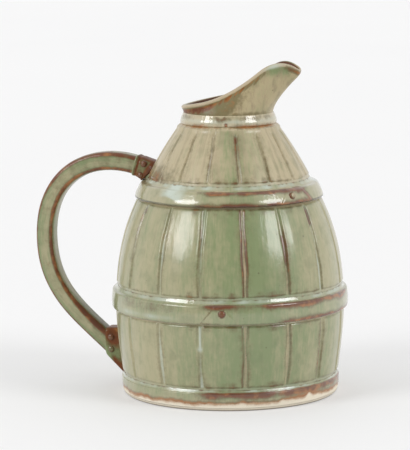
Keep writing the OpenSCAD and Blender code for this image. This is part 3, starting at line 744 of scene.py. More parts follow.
def spout_shape(a):
    """Places up the outside of the spout from the neck, over a rounded rim and down the inside, with a rolled
    edge that is fullest at the back and a blunt tip, and the length from each place up to the rim's crest,
    less than nothing inside."""
    rise = np.linspace(0, 1, 52)
    outer, inner = spout_side(a, rise, 1), spout_side(a, rise[::-1], THINNED)
    turn = np.linspace(0, np.pi, 17)[1:-1, None]
    share = (THINNED + (1 - THINNED) * (1 + np.cos(turn)) / 2)[..., None]
    plan = rim_plan(a) + share * MOUTH_T * rim_normal(a)
    crest_z = rim_top(a) - CREST_DROP
    rim_z = crest_z - (MOUTH_T / 2 - CREST_DROP) * (1 - np.sin(turn))
    rim = np.concatenate([plan, rim_z[..., None]], -1)
    foot_out, foot_in = outer[:1].copy(), inner[-1:].copy()
    foot_out[..., 2] = NECK_Z
    foot_in[..., 2] = NECK_Z
    points = np.concatenate([foot_out, outer, rim, inner, foot_in])
    steps = np.linalg.norm(np.diff(points, axis=0), axis=-1)
    along = np.vstack([np.zeros(len(a)), np.cumsum(steps, axis=0)])
    below = along[1 + len(rise) + len(rim) // 2] - along
    roll = ridge(below, 2.0, 2.3) * (0.35 + 0.75 * smooth(0.3, -0.5, np.cos(a)))
    points[..., :2] += roll[..., None] * rim_normal(a)
    points[..., 0] = TIP_X - TIP_SOFT * np.log1p(np.exp((TIP_X - points[..., 0]) / TIP_SOFT))
    return points, below


def spout_piece(material):
    """The collar and drawn lip. Brown breaks under the rim in a wide soft band at the back, in ragged patches
    along the side and at the tip, with olive below it and green beside the tip."""
    a = even_turn(SPOUT_COLUMNS)
    points, below = spout_shape(a)
    x, foot_z = points[..., 0], points[..., 2] - COLLAR_TOP
    runs = 7.6 + 1.3 * wander(a, 0, 51, turns=(3, 7, 11)) + 0.9 * wander(a, 0, 54, turns=(19, 29, 41))
    band = smooth(2.4, 4.6, below) * (1 - smooth(runs - 2.0, runs + 5.0, below))
    broken = np.clip(0.7 + 0.55 * wander(a, 0, 56, turns=(23, 37, 53, 71)), 0.25, 1.1)
    strength = 0.9 * smooth(8, -8, x) + (1.1 * ridge(x, 9, 8) + 0.8 * ridge(x, 21, 7)) * broken + 0.2
    streak = 1.15 * ridge(below, 5.4, 1.5) * smooth(4, -8, x)
    tip = smooth(36, 44, x) * ridge(below, 3.8, 1.9)
    foot_line = 0.6 * ridge(foot_z, 0.5, 1.8) * patches(a, FOOT_RUST, 52)
    olive = 0.6 * smooth(26, 6, x) * smooth(34, 14, below) + 0.05 * smooth(40, 24, x)
    olive = olive * (1 + 0.2 * wander(a, 0, 55, turns=(17, 29, 43, 61))) * smooth(2.6, 4.6, below)
    thin = most(band * strength, streak, tip, foot_line, olive) * smooth(-1.0, 0.5, below)
    tone = 0.5 + 0.5 * wander(a, points[..., 2], 53) - 1.2 * smooth(12, -14, x) + 2 * smooth(41, 46, x)
    tone = tone - 1.7 * smooth(20, 33, x) * smooth(14, 4, below)
    tone = tone + 1.4 * ridge(x, 16, 11) * smooth(9, 5, below)
    milk = 0.6 * ridge(x, 33, 5) * ridge(below, 3.0, 2.0) + 0.34 * ridge(below, 1.5, 1.5)
    pool = 0.75 * smooth(-0.6, 0.6, below) * smooth(4.2, 2.6, below)
    inside = 1 - smooth(-1.3, -0.2, below)
    grid = grid_piece(points, thin=thin, pool=pool, milk=milk, tone=tone, inside=inside,
                      run=points * np.array([1, 1, 0.3]))
    make_piece("spout", [grid], material)


# Handle, cuffs and rivets

HANDLE_W, HANDLE_T, HANDLE_CORNER = 13.0, 12.4, 4.0
HANDLE_REACH, HANDLE_MID_Z, HANDLE_TOP_Z, HANDLE_LOW_Z = 126.4, 99.6, 144.1, 18.3
TOP_ANGLE, LOW_ANGLE = np.radians(25), np.radians(45)
TANGENTS = np.array([0.305, 0.365, 0.332, 0.31]) * (HANDLE_TOP_Z - HANDLE_LOW_Z)
# How far the ends of the strap are sunk in the wall
HANDLE_SUNK = 2.5
CUFF_T, UPPER_CUFF_L, LOWER_CUFF_L = 0.9, 11.0, 11.1
RIVET_D, RIVET_H, RIVET_SUNK = 4.4, 1.3, 0.5
# Rivets of the upper cuff, as shares of its length and of the strap's thickness, and of the lower cuff, as a
# share of its length and shares of the strap's thickness, with how brown each is
UPPER_RIVET_SHARES = ((0.5, 0.28), (0.4, -0.36))
LOWER_RIVET_SHARE, LOWER_RIVET_UP_SHARES, LOWER_RIVET_BROWNS = 0.38, (1.18, 0.52), (1.0, 0.6)

TOP_START = np.array([-float(wall_r(HANDLE_TOP_Z)), HANDLE_TOP_Z])
LOW_START = np.array([-float(wall_r(HANDLE_LOW_Z)), HANDLE_LOW_Z])
TOP_WAY = np.array([-np.cos(TOP_ANGLE), np.sin(TOP_ANGLE)])
LOW_WAY = np.array([-np.cos(LOW_ANGLE), np.sin(LOW_ANGLE)])
FAR_PLACE = np.array([-HANDLE_REACH, HANDLE_MID_Z])
TOP_CURVE = [TOP_START, TOP_START + TANGENTS[0] * TOP_WAY, FAR_PLACE + [0, TANGENTS[1]], FAR_PLACE]
LOW_CURVE = [LOW_START, LOW_START + TANGENTS[3] * LOW_WAY, FAR_PLACE - [0, TANGENTS[2]], FAR_PLACE]


def curve_at(curve, t):
    """Places on a cubic curve of four points."""
    t = np.asarray(t, float)[:, None]
    a, b, c, d = curve
    return (1 - t) ** 3 * a + 3 * (1 - t) ** 2 * t * b + 3 * (1 - t) * t * t * c + t ** 3 * d


def handle_path():
    """Places and directions along the middle line of the strap, from inside the wall at the top to inside the
    wall below, and the length from the first place."""
    t = np.linspace(0, 1, 90)
    line = np.vstack([curve_at(TOP_CURVE, t), curve_at(LOW_CURVE, t[-2::-1])])
    way = unit(np.gradient(line, axis=0))
    sunk = HANDLE_SUNK * np.array([[1.0], [0.5]])
    line = np.vstack([TOP_START - sunk * TOP_WAY, line, LOW_START - sunk[::-1] * LOW_WAY])
    way = np.vstack([way[:1], way[:1], way, way[-1:], way[-1:]])
    length = np.append(0, np.cumsum(np.linalg.norm(np.diff(line, axis=0), axis=1)))
    return line, way, length


def strap_outline():
    """Section of the strap: a rectangle with round corners. The first coordinate runs across the jug and the
    second away from the middle of the loop."""
    w, t = HANDLE_W / 2, HANDLE_T / 2
    return rounded_loop([(w, -t), (w, t), (-w, t), (-w, -t)], [HANDLE_CORNER] * 4, steps=9, stretch=0.8)


def oval_outline(count=72, squareness=4.2):
    """Section of the strap softened to a squarish oval in the same width and thickness, and how near each
    place is to a corner: 0 in the middle of a side to 1 at a corner."""
    t = even_turn(count)
    c, s = np.cos(t), np.sin(t)
    power = 2 / squareness
    across = HANDLE_W / 2 * np.sign(c) * np.abs(c) ** power
    away = HANDLE_T / 2 * np.sign(s) * np.abs(s) ** power
    return np.stack([across, away], -1), np.abs(np.sin(2 * t))


def swollen(outline, growth):
    """An outline pushed out from its middle by lengths, one row of it for each row of growth."""
    spread = np.hypot(outline[:, 0], outline[:, 1])[None, :]
    return outline[None] * (1 + growth / spread)[..., None]


def set_square(outline, line, way):
    """A section set square on a path in the plane of the handle, for every place on the path."""
    out = np.stack([way[:, 1], -way[:, 0]], -1)
    across, away = outline[..., 0], outline[..., 1]
    x = line[:, :1] + out[:, :1] * away
    z = line[:, 1:] + out[:, 1:] * away
    return np.stack([x, np.broadcast_to(across, x.shape), z], -1)


def handle_piece(material):
    """The pulled strap, with a fillet of slip where its upper end is luted to the wall, brown along its
    corners and over the outside of its upper bend, and olive inside its lower leg. Buff down the middle of
    its sides, partly as a painted sheen, and a painted reflection makes its inner face a little milky."""
    line, way, length = handle_path()
    outline, corner = oval_outline()
    from_top, from_low = length[:, None], (length[-1] - length)[:, None]
    uneven = 0.5 * np.sin(from_top / 11 + 0.4) + 0.5 * np.sin(from_top / 5.3)
    points = set_square(swollen(outline, 1.7 * ridge(from_top, 1.0, 3.0) - 0.06 * (1 + uneven)), line, way)
    across, away, corner = outline[None, :, 0], outline[None, :, 1], corner[None, :]
    patch = wander(from_top / 40, across, 61, turns=(3, 5, 9, 16), lean=0.1)
    flecks = wander(from_top / 9, across * 2, 62, turns=(3, 5, 7, 11), lean=0.2)
    outer_side, upper, low_leg = smooth(-1, 1, away), smooth(105, 60, from_top), smooth(70, 30, from_low)
    inside_line = smooth(-2.2, -4.4, away - 1.2 * low_leg) * smooth(4.4, 5.8, np.abs(across))
    outside_line = upper * smooth(0.3, 0.8, corner) + (1 - upper) * 0.9 * smooth(0.7, 1.0, corner)
    edge = (1.08 + 0.2 * low_leg) * inside_line * (1 - outer_side) + outside_line * outer_side
    bend = ridge(from_top, 45, 34) * smooth(1.5, 5.5, away)
    thin = most(edge * np.clip(0.9 + 0.2 * patch + 0.15 * flecks, 0, 1.2),
                bend * np.clip(0.6 + 0.35 * flecks, 0, 1),
                0.15 + 0.12 * upper + 0.12 * flecks,
                0.6 * ridge(from_low, 8, 6) * smooth(0, -3, away),
                0.48 * smooth(80, 30, from_low) * smooth(-4, -6, away))
    thin = thin * smooth(1, 4, np.minimum(from_top, from_low))
    # Buff down the middle of each side: partly the glaze's tone, partly a painted sheen
    tone = 0.3 * patch + 0.9 * smooth(0.7, 0.0, corner) - 0.4 + 0.6 * smooth(3, -4, away)
    tone = tone - 1.4 * low_leg * smooth(-1, -4, away)
    # Painted reflection: the upper part of the inner face is painted a little milky
    milk = 0.3 * smooth(-4.5, -6, away) * smooth(50, 90, from_low)
    run = np.stack(np.broadcast_arrays(across * 2, away * 2, from_top * 0.3), -1)
    grid = grid_piece(points, ring=False, thin=thin, milk=milk, tone=tone, run=run)
    make_piece("handle", [grid], material)


def upper_cuff_piece(material):
    """The upper cuff: a sleeve on the strap with a pale rolled free edge, closed against the strap at both
    ends, darkest where it meets the wall and green between."""
    reach = UPPER_CUFF_L / (3 * TANGENTS[0])
    start, stop, rows = -0.06 * reach, 1.1 * reach, 22
    # Rows up the outside, over the free edge, and back inside the strap
    t = np.concatenate([[start, start], np.linspace(start + 0.05 * reach, stop - 0.1 * reach, rows),
                        [stop - 0.05 * reach, stop, stop]])
    rise = np.concatenate([[-0.8, 0.6], np.full(rows, 1.0), [1.0, 0.55, -0.8]])[:, None] * CUFF_T
    along = np.linspace(0, 1, len(t))[:, None]
    groove = ridge(along, 0.76, 0.06)
    outline = strap_outline()
    section = swollen(outline, rise + 1.3 * ridge(along, 0, 0.3) - 0.3 * groove)
    way = unit(curve_at(TOP_CURVE, t + 0.01) - curve_at(TOP_CURVE, t - 0.01))
    points = set_square(section, curve_at(TOP_CURVE, t), way)
    # The end at the wall leans with the wall
    lean = 0.6 * outline[None, :, 1] * smooth(0.6, 0.0, along)
    points[..., 0] -= lean * TOP_WAY[0]
    points[..., 2] -= lean * TOP_WAY[1]
    turn = np.arctan2(outline[:, 0], outline[:, 1])[None, :]
    patch = wander(turn, along * 30, 65, turns=(2, 3, 5), lean=0.1)
    upper = smooth(4.5, 6, outline[None, :, 1])
    thin = most(1.15 * smooth(0.5, 0.1, along), groove, 0.42 + 0.25 * patch, 0.85 * upper)
    grid = grid_piece(points, thin=thin * smooth(0.95, 0.84, along) + 0.2, tone=-0.4, run=points * 0.6,
                      milk=0.3 * smooth(0.84, 0.94, along))
    make_piece("upper_cuff", [grid], material)


def lower_cuff_piece(material):
    """The lower cuff: upright sections from the wall to an upright free face, between the strap's underside
    and a top that climbs to the wall. Brown, with green low on its free side."""
    rows = 16
    face_x, wall_x = low_mm("lower_cuff")[0], LOW_START[0] + HANDLE_SUNK
    share = np.concatenate([np.linspace(0, 0.9, rows), [0.95, 0.98, 1.0]])
    inset = np.concatenate([np.zeros(rows), [0.12, 0.4, 0.9]])
    x = wall_x + (face_x - wall_x) * share
    middle = HANDLE_LOW_Z + (LOW_START[0] - x) * np.tan(LOW_ANGLE)
    reach = (HANDLE_T / 2 + CUFF_T) / np.cos(LOW_ANGLE)
    top = high_mm("lower_cuff")[2] - 0.3 - 0.6 * share - inset
    low = np.maximum(middle - reach, low_mm("lower_cuff")[2] + 0.1) + inset
    half = HANDLE_W / 2 + CUFF_T - inset
    square = rounded_loop([(1, -1), (1, 1), (-1, 1), (-1, -1)], [0.4] * 4, steps=7, stretch=0.1)
    y = half[:, None] * square[None, :, 0]
    z = (top + low)[:, None] / 2 + (top - low)[:, None] / 2 * square[None, :, 1]
    points = np.stack([np.broadcast_to(x[:, None], y.shape), y, z], -1)
    part, height = share[:, None], (square[None, :, 1] + 1) / 2
    about_rivet = ridge(np.hypot((part - 0.68) / 0.5, (height - 0.76) / 0.34), 0.0, 1.0)
    thin = most(1.25 * about_rivet, smooth(0.4, 0.1, height) * smooth(0.9, 0.5, part),
                0.9 * smooth(0.84, 1.0, height), 0.45 * smooth(0.6, 0.3, part))
    grid = grid_piece(points, ring=False, thin=thin, milk=0.3 * ridge(part, 1.0, 0.06), run=points * 0.6,
                      tone=-1.3 + 0.5 * part)
    make_piece("lower_cuff", [grid], material)


def dome_grid(place, way, rosy=0.0, brown=1.0):
    """A rivet: a low dome with a rounded foot, along a direction, sunk a little into what carries it.
    A rosy one is paler on top, and a less brown one is olive."""
    turn = np.linspace(0.04, 1, 9)[:, None] * np.pi / 2
    angle = even_turn(32)[None, :]
    out = np.vstack([RIVET_D / 2 * np.sin(turn), [[RIVET_D / 2]]])
    up = np.vstack([RIVET_H * np.cos(turn), [[-RIVET_SUNK]]])
    way = unit(np.array(way, float))
    side = unit(np.cross(way, [0.3, 0.2, 1.0]))
    third = np.cross(way, side)
    plan = out[..., None] * (np.cos(angle)[..., None] * side + np.sin(angle)[..., None] * third)
    points = np.array(place) + plan + up[..., None] * way
    rim = smooth(0.5, 0.95, out / RIVET_D * 2)
    thin = brown * ((1 - rosy) * (0.8 + 0.35 * rim) + rosy * (0.1 + 0.8 * rim))
    return grid_piece(points, ring=False, thin=thin, pool=rosy * (1 - rim), tone=-1.2)


def hoop_rivet_piece(name, material, hoop):
    """The rivet on a hoop's tongue, square to the hoop's face."""
    (low_r, _), (top_r, _) = hoop.edges()
    radius = (low_r + top_r) / 2 + CROWN + hoop.lap.rise - 0.2
    angle = hoop.lap.angle + hoop.lap.rivet / radius
    tilt = np.arctan2(low_r - top_r, hoop.height)
    way = around(angle, np.cos(tilt), np.sin(tilt))
    place = around(angle, radius, hoop.low + hoop.height * RIVET_RISE)
    make_piece(name, [dome_grid(place, way, hoop.lap.rosy)], material)


def cuff_rivets_piece(name, material, places, browns=(1.0, 1.0)):
    """Rivets on both sides of a cuff, at places in the plane of the handle, each with how brown it is."""
    face = HANDLE_W / 2 + CUFF_T
    domes = [dome_grid((x, side * face, z), (0, side, 0), brown=brown)
             for side in (-1, 1) for (x, z), brown in zip(places, browns)]
    make_piece(name, domes, material)


# Finishes

CELADON = (0.205, 0.250, 0.118)
CELADON_DEEP = (0.140, 0.180, 0.080)
OLIVE_DARK = (0.130, 0.105, 0.042)
BUFF = (0.385, 0.350, 0.208)
PALE_BUFF = (0.470, 0.400, 0.255)
WARM_BUFF = (0.420, 0.352, 0.208)
ROSY = (0.470, 0.360, 0.235)
MILKY = (0.500, 0.560, 0.480)
SMOKE = (0.270, 0.205, 0.135)
IRON_RED = (0.148, 0.045, 0.012)
IRON_UMBER = (0.125, 0.055, 0.020)
IRON_OCHRE = (0.320, 0.130, 0.035)
IRON_DARK = (0.050, 0.020, 0.010)
CLAY = (0.760, 0.690, 0.562)
CLAY_ROUGH = 0.8
# How far the stored tone sways a glaze between green and buff
TONE_SWAY = 0.45
# Depth and strength of the fine relief
RELIEF_DEPTH, RELIEF_STRENGTH = 0.0005, 0.4


class Finish:
    """Short forms for wiring the nodes of one material."""

    def __init__(self, name):
        self.material = bpy.data.materials.new(name)
        self.material.use_nodes = True
        self.tree = self.material.node_tree
        self.tree.nodes.clear()
        self.shader = self.tree.nodes.new("ShaderNodeBsdfPrincipled")
        output = self.tree.nodes.new("ShaderNodeOutputMaterial")
        self.tree.links.new(self.shader.outputs["BSDF"], output.inputs["Surface"])
        self.place = self.tree.nodes.new("ShaderNodeTexCoord").outputs["Object"]

    def wire(self, value, socket):
        """Sets a socket to a number or colour, or links it to another node's output."""
        if isinstance(value, bpy.types.NodeSocket):
            self.tree.links.new(value, socket)
        elif isinstance(value, tuple):
            socket.default_value = value + (1.0,) * (len(socket.default_value) - len(value))
        else:
            socket.default_value = value

    def surface(self, **values):
        """Sets or links the shader's sockets, named with _ for each space."""
        for name, value in values.items():
            self.wire(value, self.shader.inputs[name.replace("_", " ")])

    def field(self, name, output="Fac"):
        """A value stored on the surface."""
        node = self.tree.nodes.new("ShaderNodeAttribute")
        node.attribute_name = name
        return node.outputs[output]

    def math(self, operation, a, b=0.0, c=0.0):
        """One sum on numbers."""
        node = self.tree.nodes.new("ShaderNodeMath")
        node.operation = operation
        for value, socket in zip((a, b, c), node.inputs):
            self.wire(value, socket)
        return node.outputs[0]

    def times(self, a, b):
        """One number times another."""
        return self.math("MULTIPLY", a, b)

    def total(self, start, *weighted):
        """A start plus values, each times its weight."""
        for value, weight in weighted:
            start = self.math("MULTIPLY_ADD", value, weight, start)
        return start

    def step(self, value, low, high):
        """0 below low and 1 above high, joined by an S curve."""
        node = self.tree.nodes.new("ShaderNodeMapRange")
        node.interpolation_type = "SMOOTHSTEP"
        self.wire(value, node.inputs["Value"])
        node.inputs["From Min"].default_value = low
        node.inputs["From Max"].default_value = high
        return node.outputs["Result"]

    def noise(self, place, size, detail=3.0, roughness=0.55):
        """Cloudy noise, 0 to 1, with features of a size in the place's own units."""
        node = self.tree.nodes.new("ShaderNodeTexNoise")
        self.wire(place, node.inputs["Vector"])
        node.inputs["Scale"].default_value = 1 / size
        node.inputs["Detail"].default_value = detail
        node.inputs["Roughness"].default_value = roughness
        return node.outputs["Fac"]

    def spots(self, place, size, low, high):
        """Small round spots scattered about a size apart: 1 inside a spot."""
        node = self.tree.nodes.new("ShaderNodeTexVoronoi")
        self.wire(place, node.inputs["Vector"])
        node.inputs["Scale"].default_value = 1 / size
        return self.math("SUBTRACT", 1.0, self.step(node.outputs["Distance"], low, high))

    def mix(self, share, a, b):
        """Colour a with a share of colour b over it."""
        node = self.tree.nodes.new("ShaderNodeMix")
        node.data_type = "RGBA"
        self.wire(share, node.inputs["Factor"])
        self.wire(a, node.inputs["A"])
        self.wire(b, node.inputs["B"])
        return node.outputs["Result"]

    def bump(self, height, distance, strength):
        """Surface relief from a height."""
        node = self.tree.nodes.new("ShaderNodeBump")
        node.inputs["Strength"].default_value = strength
        node.inputs["Distance"].default_value = distance
        self.wire(height, node.inputs["Height"])
        return node.outputs["Normal"]


def glaze_noise(f):
    """Noise that a glaze is made of: clouds, streaks and hairs along its run, with sizes in millimetres, and
    mottle, blotches and fine grain by place, with sizes in metres."""
    run = f.field("run", "Vector")
    return SimpleNamespace(clouds=f.noise(run, 22.0, 2.0), streaks=f.noise(run, 5.0, 2.5, 0.5),
                           hair=f.noise(run, 1.5, 2.0), mottle=f.noise(f.place, 0.010),
                           blotch=f.noise(f.place, 0.0036, 2.0), fine=f.noise(f.place, 0.0014, 2.0))


def pooled_colour(f, n, buff_share, smoke, buff_colour):
    """Green and buff in soft streaks, deeper green in places, with smoky veils, rosy where it pools in seams
    and where light is painted, and milky where it pools thickly and where reflections are painted. Noise lies
    about a half, so half the weights come off the start."""
    weights = ((n.clouds, 0.9), (n.streaks, 1.0), (n.blotch, 0.4), (n.hair, 0.7))
    start = buff_share - sum(weight for _, weight in weights) / 2
    buff = f.total(start, (f.field("tone"), TONE_SWAY), *weights)
    colour = f.mix(f.step(buff, 0.0, 1.0), CELADON, buff_colour)
    deep = f.step(f.total(0.0, (n.mottle, 0.55), (n.streaks, 0.45)), 0.46, 0.66)
    colour = f.mix(f.times(deep, 0.4), colour, CELADON_DEEP)
    if smoke:
        veil = f.step(f.total(0.0, (n.streaks, 0.5), (n.hair, 0.5)), 0.44, 0.62)
        colour = f.mix(f.times(veil, smoke), colour, SMOKE)
    uneven = f.total(0.45, (n.mottle, 0.8))
    colour = f.mix(f.step(f.times(f.field("pool"), uneven), 0.15, 0.85), colour, ROSY)
    return f.mix(f.step(f.times(f.field("milk"), uneven), 0.1, 0.9), colour, MILKY)


def broken_colour(f, n, colour, breaks, iron_colour):
    """Olive, then iron brown, then nearly black as the glaze thins, ochre in places, and the share that is
    broken to brown. Breaks is the thinness at which brown begins."""
    thin = f.total(-0.45, (f.field("thin"), 1.0), (n.blotch, 0.55), (n.fine, 0.35))
    ochre = f.total(f.noise(f.place, 0.008), (f.field("tone"), 0.12))
    stain = f.mix(f.step(ochre, 0.66, 0.88), OLIVE_DARK, IRON_OCHRE)
    iron = f.mix(f.step(ochre, 0.44, 0.66), iron_colour, IRON_OCHRE)
    broken = f.step(thin, breaks, breaks + 0.55)
    colour = f.mix(f.times(f.step(thin, 0.08, 0.6), 0.75), colour, stain)
    colour = f.mix(broken, colour, iron)
    return f.mix(f.times(f.step(thin, 0.9, 1.35), 0.45), colour, IRON_DARK), broken


def clay_below(f, n, colour):
    """Gritty bare clay below the line where a glaze ends, stained beside it and darkened by a painted contact
    shadow where it rests, with the share of glaze and the grit."""
    grit = f.noise(f.place, 0.0006, 4.0, 0.7)
    clay = f.mix(f.times(f.step(grit, 0.55, 0.75), 0.5), CLAY, BUFF)
    # Painted contact shadow: in bare clay, pooling darkens the clay where the foot rests
    clay = f.mix(f.times(f.field("pool"), 0.75), clay, IRON_DARK)
    edge = f.total(-0.6, (f.field("line"), 1.0), (n.fine, 1.2))
    glazed = f.step(edge, -0.15, 0.15)
    stain = f.times(f.step(f.total(edge, (n.mottle, 3.0)), -0.6, 1.6), 0.75)
    return f.mix(glazed, f.mix(stain, clay, IRON_OCHRE), colour), glazed, grit


def glaze(name, buff_share, smoke=0.0, gloss=0.6, blur=0.1, coat=1.5, breaks=0.4, shine=0.3, buff_colour=BUFF,
          iron_colour=IRON_RED, bare=False):
    """Celadon glaze over iron-bearing clay: pooled and broken colours, iron specks and pinholes, dark brown
    inside the jug, under a glossy coat. A glaze with bare clay ends at a line."""
    f = Finish(name)
    n = glaze_noise(f)
    colour = pooled_colour(f, n, buff_share, smoke, buff_colour)
    colour, broken = broken_colour(f, n, colour, breaks, iron_colour)
    crowds = f.times(f.spots(f.place, 0.0046, 0.04, 0.1), f.step(n.mottle, 0.5, 0.6))
    specks = f.math("MAXIMUM", crowds, f.spots(f.place, 0.019, 0.02, 0.045))
    colour = f.mix(f.times(specks, 0.4), colour, IRON_DARK)
    colour = f.mix(f.field("inside"), colour, f.mix(n.mottle, IRON_DARK, IRON_RED))
    rough = f.total(0.24, (n.mottle, 0.2), (broken, 0.08))
    relief = f.total(0.0, (n.streaks, 0.8), (n.mottle, 0.8), (n.blotch, 0.1), (specks, -0.3))
    if bare:
        colour, glazed, grit = clay_below(f, n, colour)
        rough = f.total(CLAY_ROUGH, (glazed, f.math("SUBTRACT", rough, CLAY_ROUGH)))
        relief = f.total(relief, (grit, 0.3))
        gloss = f.times(glazed, gloss)
    bent = f.bump(relief, RELIEF_DEPTH, RELIEF_STRENGTH)
    f.surface(Base_Color=colour, Roughness=rough, IOR=1.5, Specular_IOR_Level=shine, Normal=bent,
              Coat_Weight=gloss, Coat_Roughness=blur, Coat_IOR=coat, Coat_Normal=bent)
    return f.material


# Pieces

stave_glaze = glaze("celadon_stave_glaze", 0.5, gloss=0.68, blur=0.16, coat=1.55, iron_colour=IRON_UMBER)
cone_glaze = glaze("celadon_cone_glaze", 0.95, smoke=0.28, gloss=0.3, blur=0.22, buff_colour=PALE_BUFF)
hoop_glaze = glaze("celadon_hoop_glaze", 0.42, gloss=0.9, coat=1.7)
shoulder_glaze = glaze("celadon_shoulder_hoop_glaze", 0.72, gloss=0.9, blur=0.12, coat=1.7)
band_glaze = glaze("celadon_band_glaze", 1.0, smoke=0.1, gloss=0.9, blur=0.07, coat=1.7,
                   buff_colour=PALE_BUFF)
spout_glaze = glaze("celadon_spout_glaze", 0.85, smoke=0.42, gloss=0.15, blur=0.3, breaks=0.58, shine=0.2,
                    buff_colour=WARM_BUFF)
handle_glaze = glaze("celadon_handle_glaze", 0.4, gloss=0.4)
cuff_glaze = glaze("iron_cuff_glaze", 0.4, gloss=0.2, blur=0.08, shine=0.1)
rivet_glaze = glaze("iron_rivet_glaze", 0.4, gloss=0.7, blur=0.05)
foot_glaze = glaze("celadon_foot_glaze", 0.4, gloss=0.9, coat=1.7, bare=True)

barrel_rows = np.concatenate([np.linspace(0, BASE_TOP - 2, 4), between_hoops(BASE_TOP, BELLY_LOW, 56),
                              np.linspace(BELLY_LOW + 4, BELLY_TOP - 4, 3),
                              between_hoops(BELLY_TOP, SHOULDER_LOW, 66), [JOINT_Z]])
wall_piece("barrel_wall", stave_glaze, barrel_rows, np.linspace(JOINT_Z, 0, 30), 11,
           [(-1, LOWER_SEAMS, LOWER_TONES), (BELLY_LOW, MIDDLE_SEAMS, MIDDLE_TONES)])
cone_rows = np.concatenate([[JOINT_Z], between_hoops(SHOULDER_TOP, NECK_Z - 1, 70), [NECK_Z]])
wall_piece("shoulder_wall", cone_glaze, cone_rows, np.linspace(NECK_Z, JOINT_Z, 16), 21,
           [(-1, CONE_SEAMS, CONE_TONES)], sway=0.4, fade=CONE_FADE)
base_disc_piece(foot_glaze)
base_hoop_piece(foot_glaze)
hoop_piece("belly_hoop", hoop_glaze, BELLY_HOOP)
hoop_piece("shoulder_hoop", shoulder_glaze, SHOULDER_HOOP)
neck_band_piece(band_glaze)
spout_piece(spout_glaze)
handle_piece(handle_glaze)
upper_cuff_piece(cuff_glaze)
lower_cuff_piece(cuff_glaze)
hoop_rivet_piece("belly_hoop_rivet", rivet_glaze, BELLY_HOOP)
hoop_rivet_piece("shoulder_hoop_rivet", rivet_glaze, SHOULDER_HOOP)
top_out = np.array([TOP_WAY[1], -TOP_WAY[0]])
upper_places = [TOP_START + UPPER_CUFF_L * along * TOP_WAY + HANDLE_T * away * top_out
                for along, away in UPPER_RIVET_SHARES]
cuff_rivets_piece("upper_cuff_rivets", rivet_glaze, upper_places)
rivet_x = low_mm("lower_cuff")[0] + LOWER_RIVET_SHARE * LOWER_CUFF_L
lower_places = [(rivet_x, HANDLE_LOW_Z + HANDLE_T * up) for up in LOWER_RIVET_UP_SHARES]
cuff_rivets_piece("lower_cuff_rivets", rivet_glaze, lower_places, LOWER_RIVET_BROWNS)


# Stage: a plain pale floor, a pale sky that is dimmer in front, and two large soft lamps

# Camera: where the photograph was taken from, in degrees and millimetres, and where the jug's axis falls
IMAGE = np.array([410.0, 450.0])
AXIS_PIXEL = np.array([229.4, 234.6])
AIM_Z, DISTANCE = 103.3, 1756.0
VIEW_AZIMUTH, VIEW_ELEVATION, VIEW_ROLL = 15.0, 8.62, -0.45
PIXELS_PER_MM = 1.522
SENSOR = 36.0
# Floor: half its side in metres, its two greys and how much it glows, like a light table
FLOOR_HALF = 40.0
FLOOR_GREYS = (0.62, 0.62, 0.625), (0.64, 0.64, 0.64)
FLOOR_GLOW = 0.235
# Sky: its strength behind the jug, and the share of it on the camera's side
SKY_STRENGTH, SKY_FRONT_SHARE = 0.88, 0.32
# Lamps: degrees round from the camera and strength of each, and the height and width of both in degrees
LAMPS = {"lamp_left": (-57, 1.35), "lamp_right": (58, 1.25)}
LAMP_ELEVATION, LAMP_WIDTH = 26, 27


def direction(azimuth, elevation):
    """Direction of a place in the sky, in degrees round from the front and up."""
    a, e = np.radians([azimuth, elevation])
    return np.array([np.sin(a) * np.cos(e), -np.cos(a) * np.cos(e), np.sin(e)])


def make_floor():
    """A wide flat floor that the jug stands on, lit a little from below."""
    half = FLOOR_HALF
    mesh = bpy.data.meshes.new("floor")
    corners = [(-half, -half, 0), (half, -half, 0), (half, half, 0), (-half, half, 0)]
    mesh.from_pydata(corners, [], [(0, 1, 2, 3)])
    f = Finish("pale_floor")
    tint = f.mix(f.noise(f.place, 0.6, 2.0), *FLOOR_GREYS)
    f.surface(Base_Color=tint, Roughness=0.7, Specular_IOR_Level=0.2, Emission_Color=(1.0, 1.0, 1.0),
              Emission_Strength=FLOOR_GLOW)
    mesh.materials.append(f.material)
    floor = bpy.data.objects.new("floor", mesh)
    bpy.context.scene.collection.objects.link(floor)


def make_lamp(name, azimuth, strength):
    """A distant soft lamp: light from a disc in the sky."""
    lamp = bpy.data.lights.new(name, "SUN")
    lamp.energy = strength
    lamp.angle = np.radians(LAMP_WIDTH)
    held = bpy.data.objects.new(name, lamp)
    towards = Vector(direction(azimuth, LAMP_ELEVATION))
    held.rotation_euler = towards.to_track_quat("Z", "Y").to_euler()
    bpy.context.scene.collection.objects.link(held)


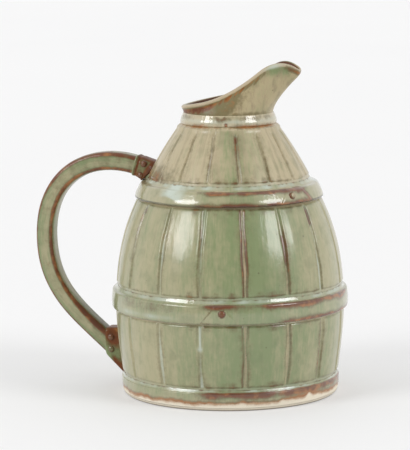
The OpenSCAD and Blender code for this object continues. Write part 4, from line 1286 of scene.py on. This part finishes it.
def make_sky():
    """Pale light from all round, down to a share of its strength on the camera's side."""
    world = bpy.data.worlds.new("studio")
    world.use_nodes = True
    tree = world.node_tree
    place = tree.nodes.new("ShaderNodeTexCoord")
    facing = tree.nodes.new("ShaderNodeVectorMath")
    facing.operation = "DOT_PRODUCT"
    tree.links.new(place.outputs["Generated"], facing.inputs[0])
    facing.inputs[1].default_value = direction(VIEW_AZIMUTH, 0)
    level = tree.nodes.new("ShaderNodeMapRange")
    level.interpolation_type = "SMOOTHSTEP"
    tree.links.new(facing.outputs["Value"], level.inputs["Value"])
    level.inputs["From Min"].default_value = 0.0
    level.inputs["From Max"].default_value = 0.85
    level.inputs["To Min"].default_value = SKY_STRENGTH
    level.inputs["To Max"].default_value = SKY_STRENGTH * SKY_FRONT_SHARE
    background = tree.nodes["Background"]
    background.inputs["Color"].default_value = (1.0, 1.0, 1.0, 1.0)
    tree.links.new(level.outputs["Result"], background.inputs["Strength"])
    bpy.context.scene.world = world


def make_camera():
    """The camera: set back from the jug's axis, rolled a little, and turned so that the axis falls where it
    does in the photograph."""
    a, roll = np.radians([VIEW_AZIMUTH, VIEW_ROLL])
    right = np.array([np.cos(a), np.sin(a), 0])
    back = direction(VIEW_AZIMUTH, VIEW_ELEVATION)
    up = np.cross(back, right)
    across = right * np.cos(roll) + up * np.sin(roll)
    upright = up * np.cos(roll) - right * np.sin(roll)
    focal = PIXELS_PER_MM * DISTANCE
    offset = IMAGE / 2 - AXIS_PIXEL
    z_axis = unit(back * focal - across * offset[0] + upright * offset[1])
    x_axis = unit(across - z_axis * (across @ z_axis))
    y_axis = np.cross(z_axis, x_axis)
    eye = (np.array([0, 0, AIM_Z]) + DISTANCE * back) * MM
    data = bpy.data.cameras.new("camera")
    data.sensor_width = SENSOR
    data.lens = SENSOR * focal / IMAGE.max()
    camera = bpy.data.objects.new("camera", data)
    turn = Matrix(np.column_stack([x_axis, y_axis, z_axis]).tolist())
    camera.matrix_world = Matrix.Translation(Vector(eye)) @ turn.to_4x4()
    bpy.context.scene.collection.objects.link(camera)
    bpy.context.scene.camera = camera


make_floor()
make_sky()
for lamp_name, (lamp_azimuth, lamp_strength) in LAMPS.items():
    make_lamp(lamp_name, VIEW_AZIMUTH + lamp_azimuth, lamp_strength)
make_camera()
bpy.context.scene.view_settings.view_transform = "Standard"
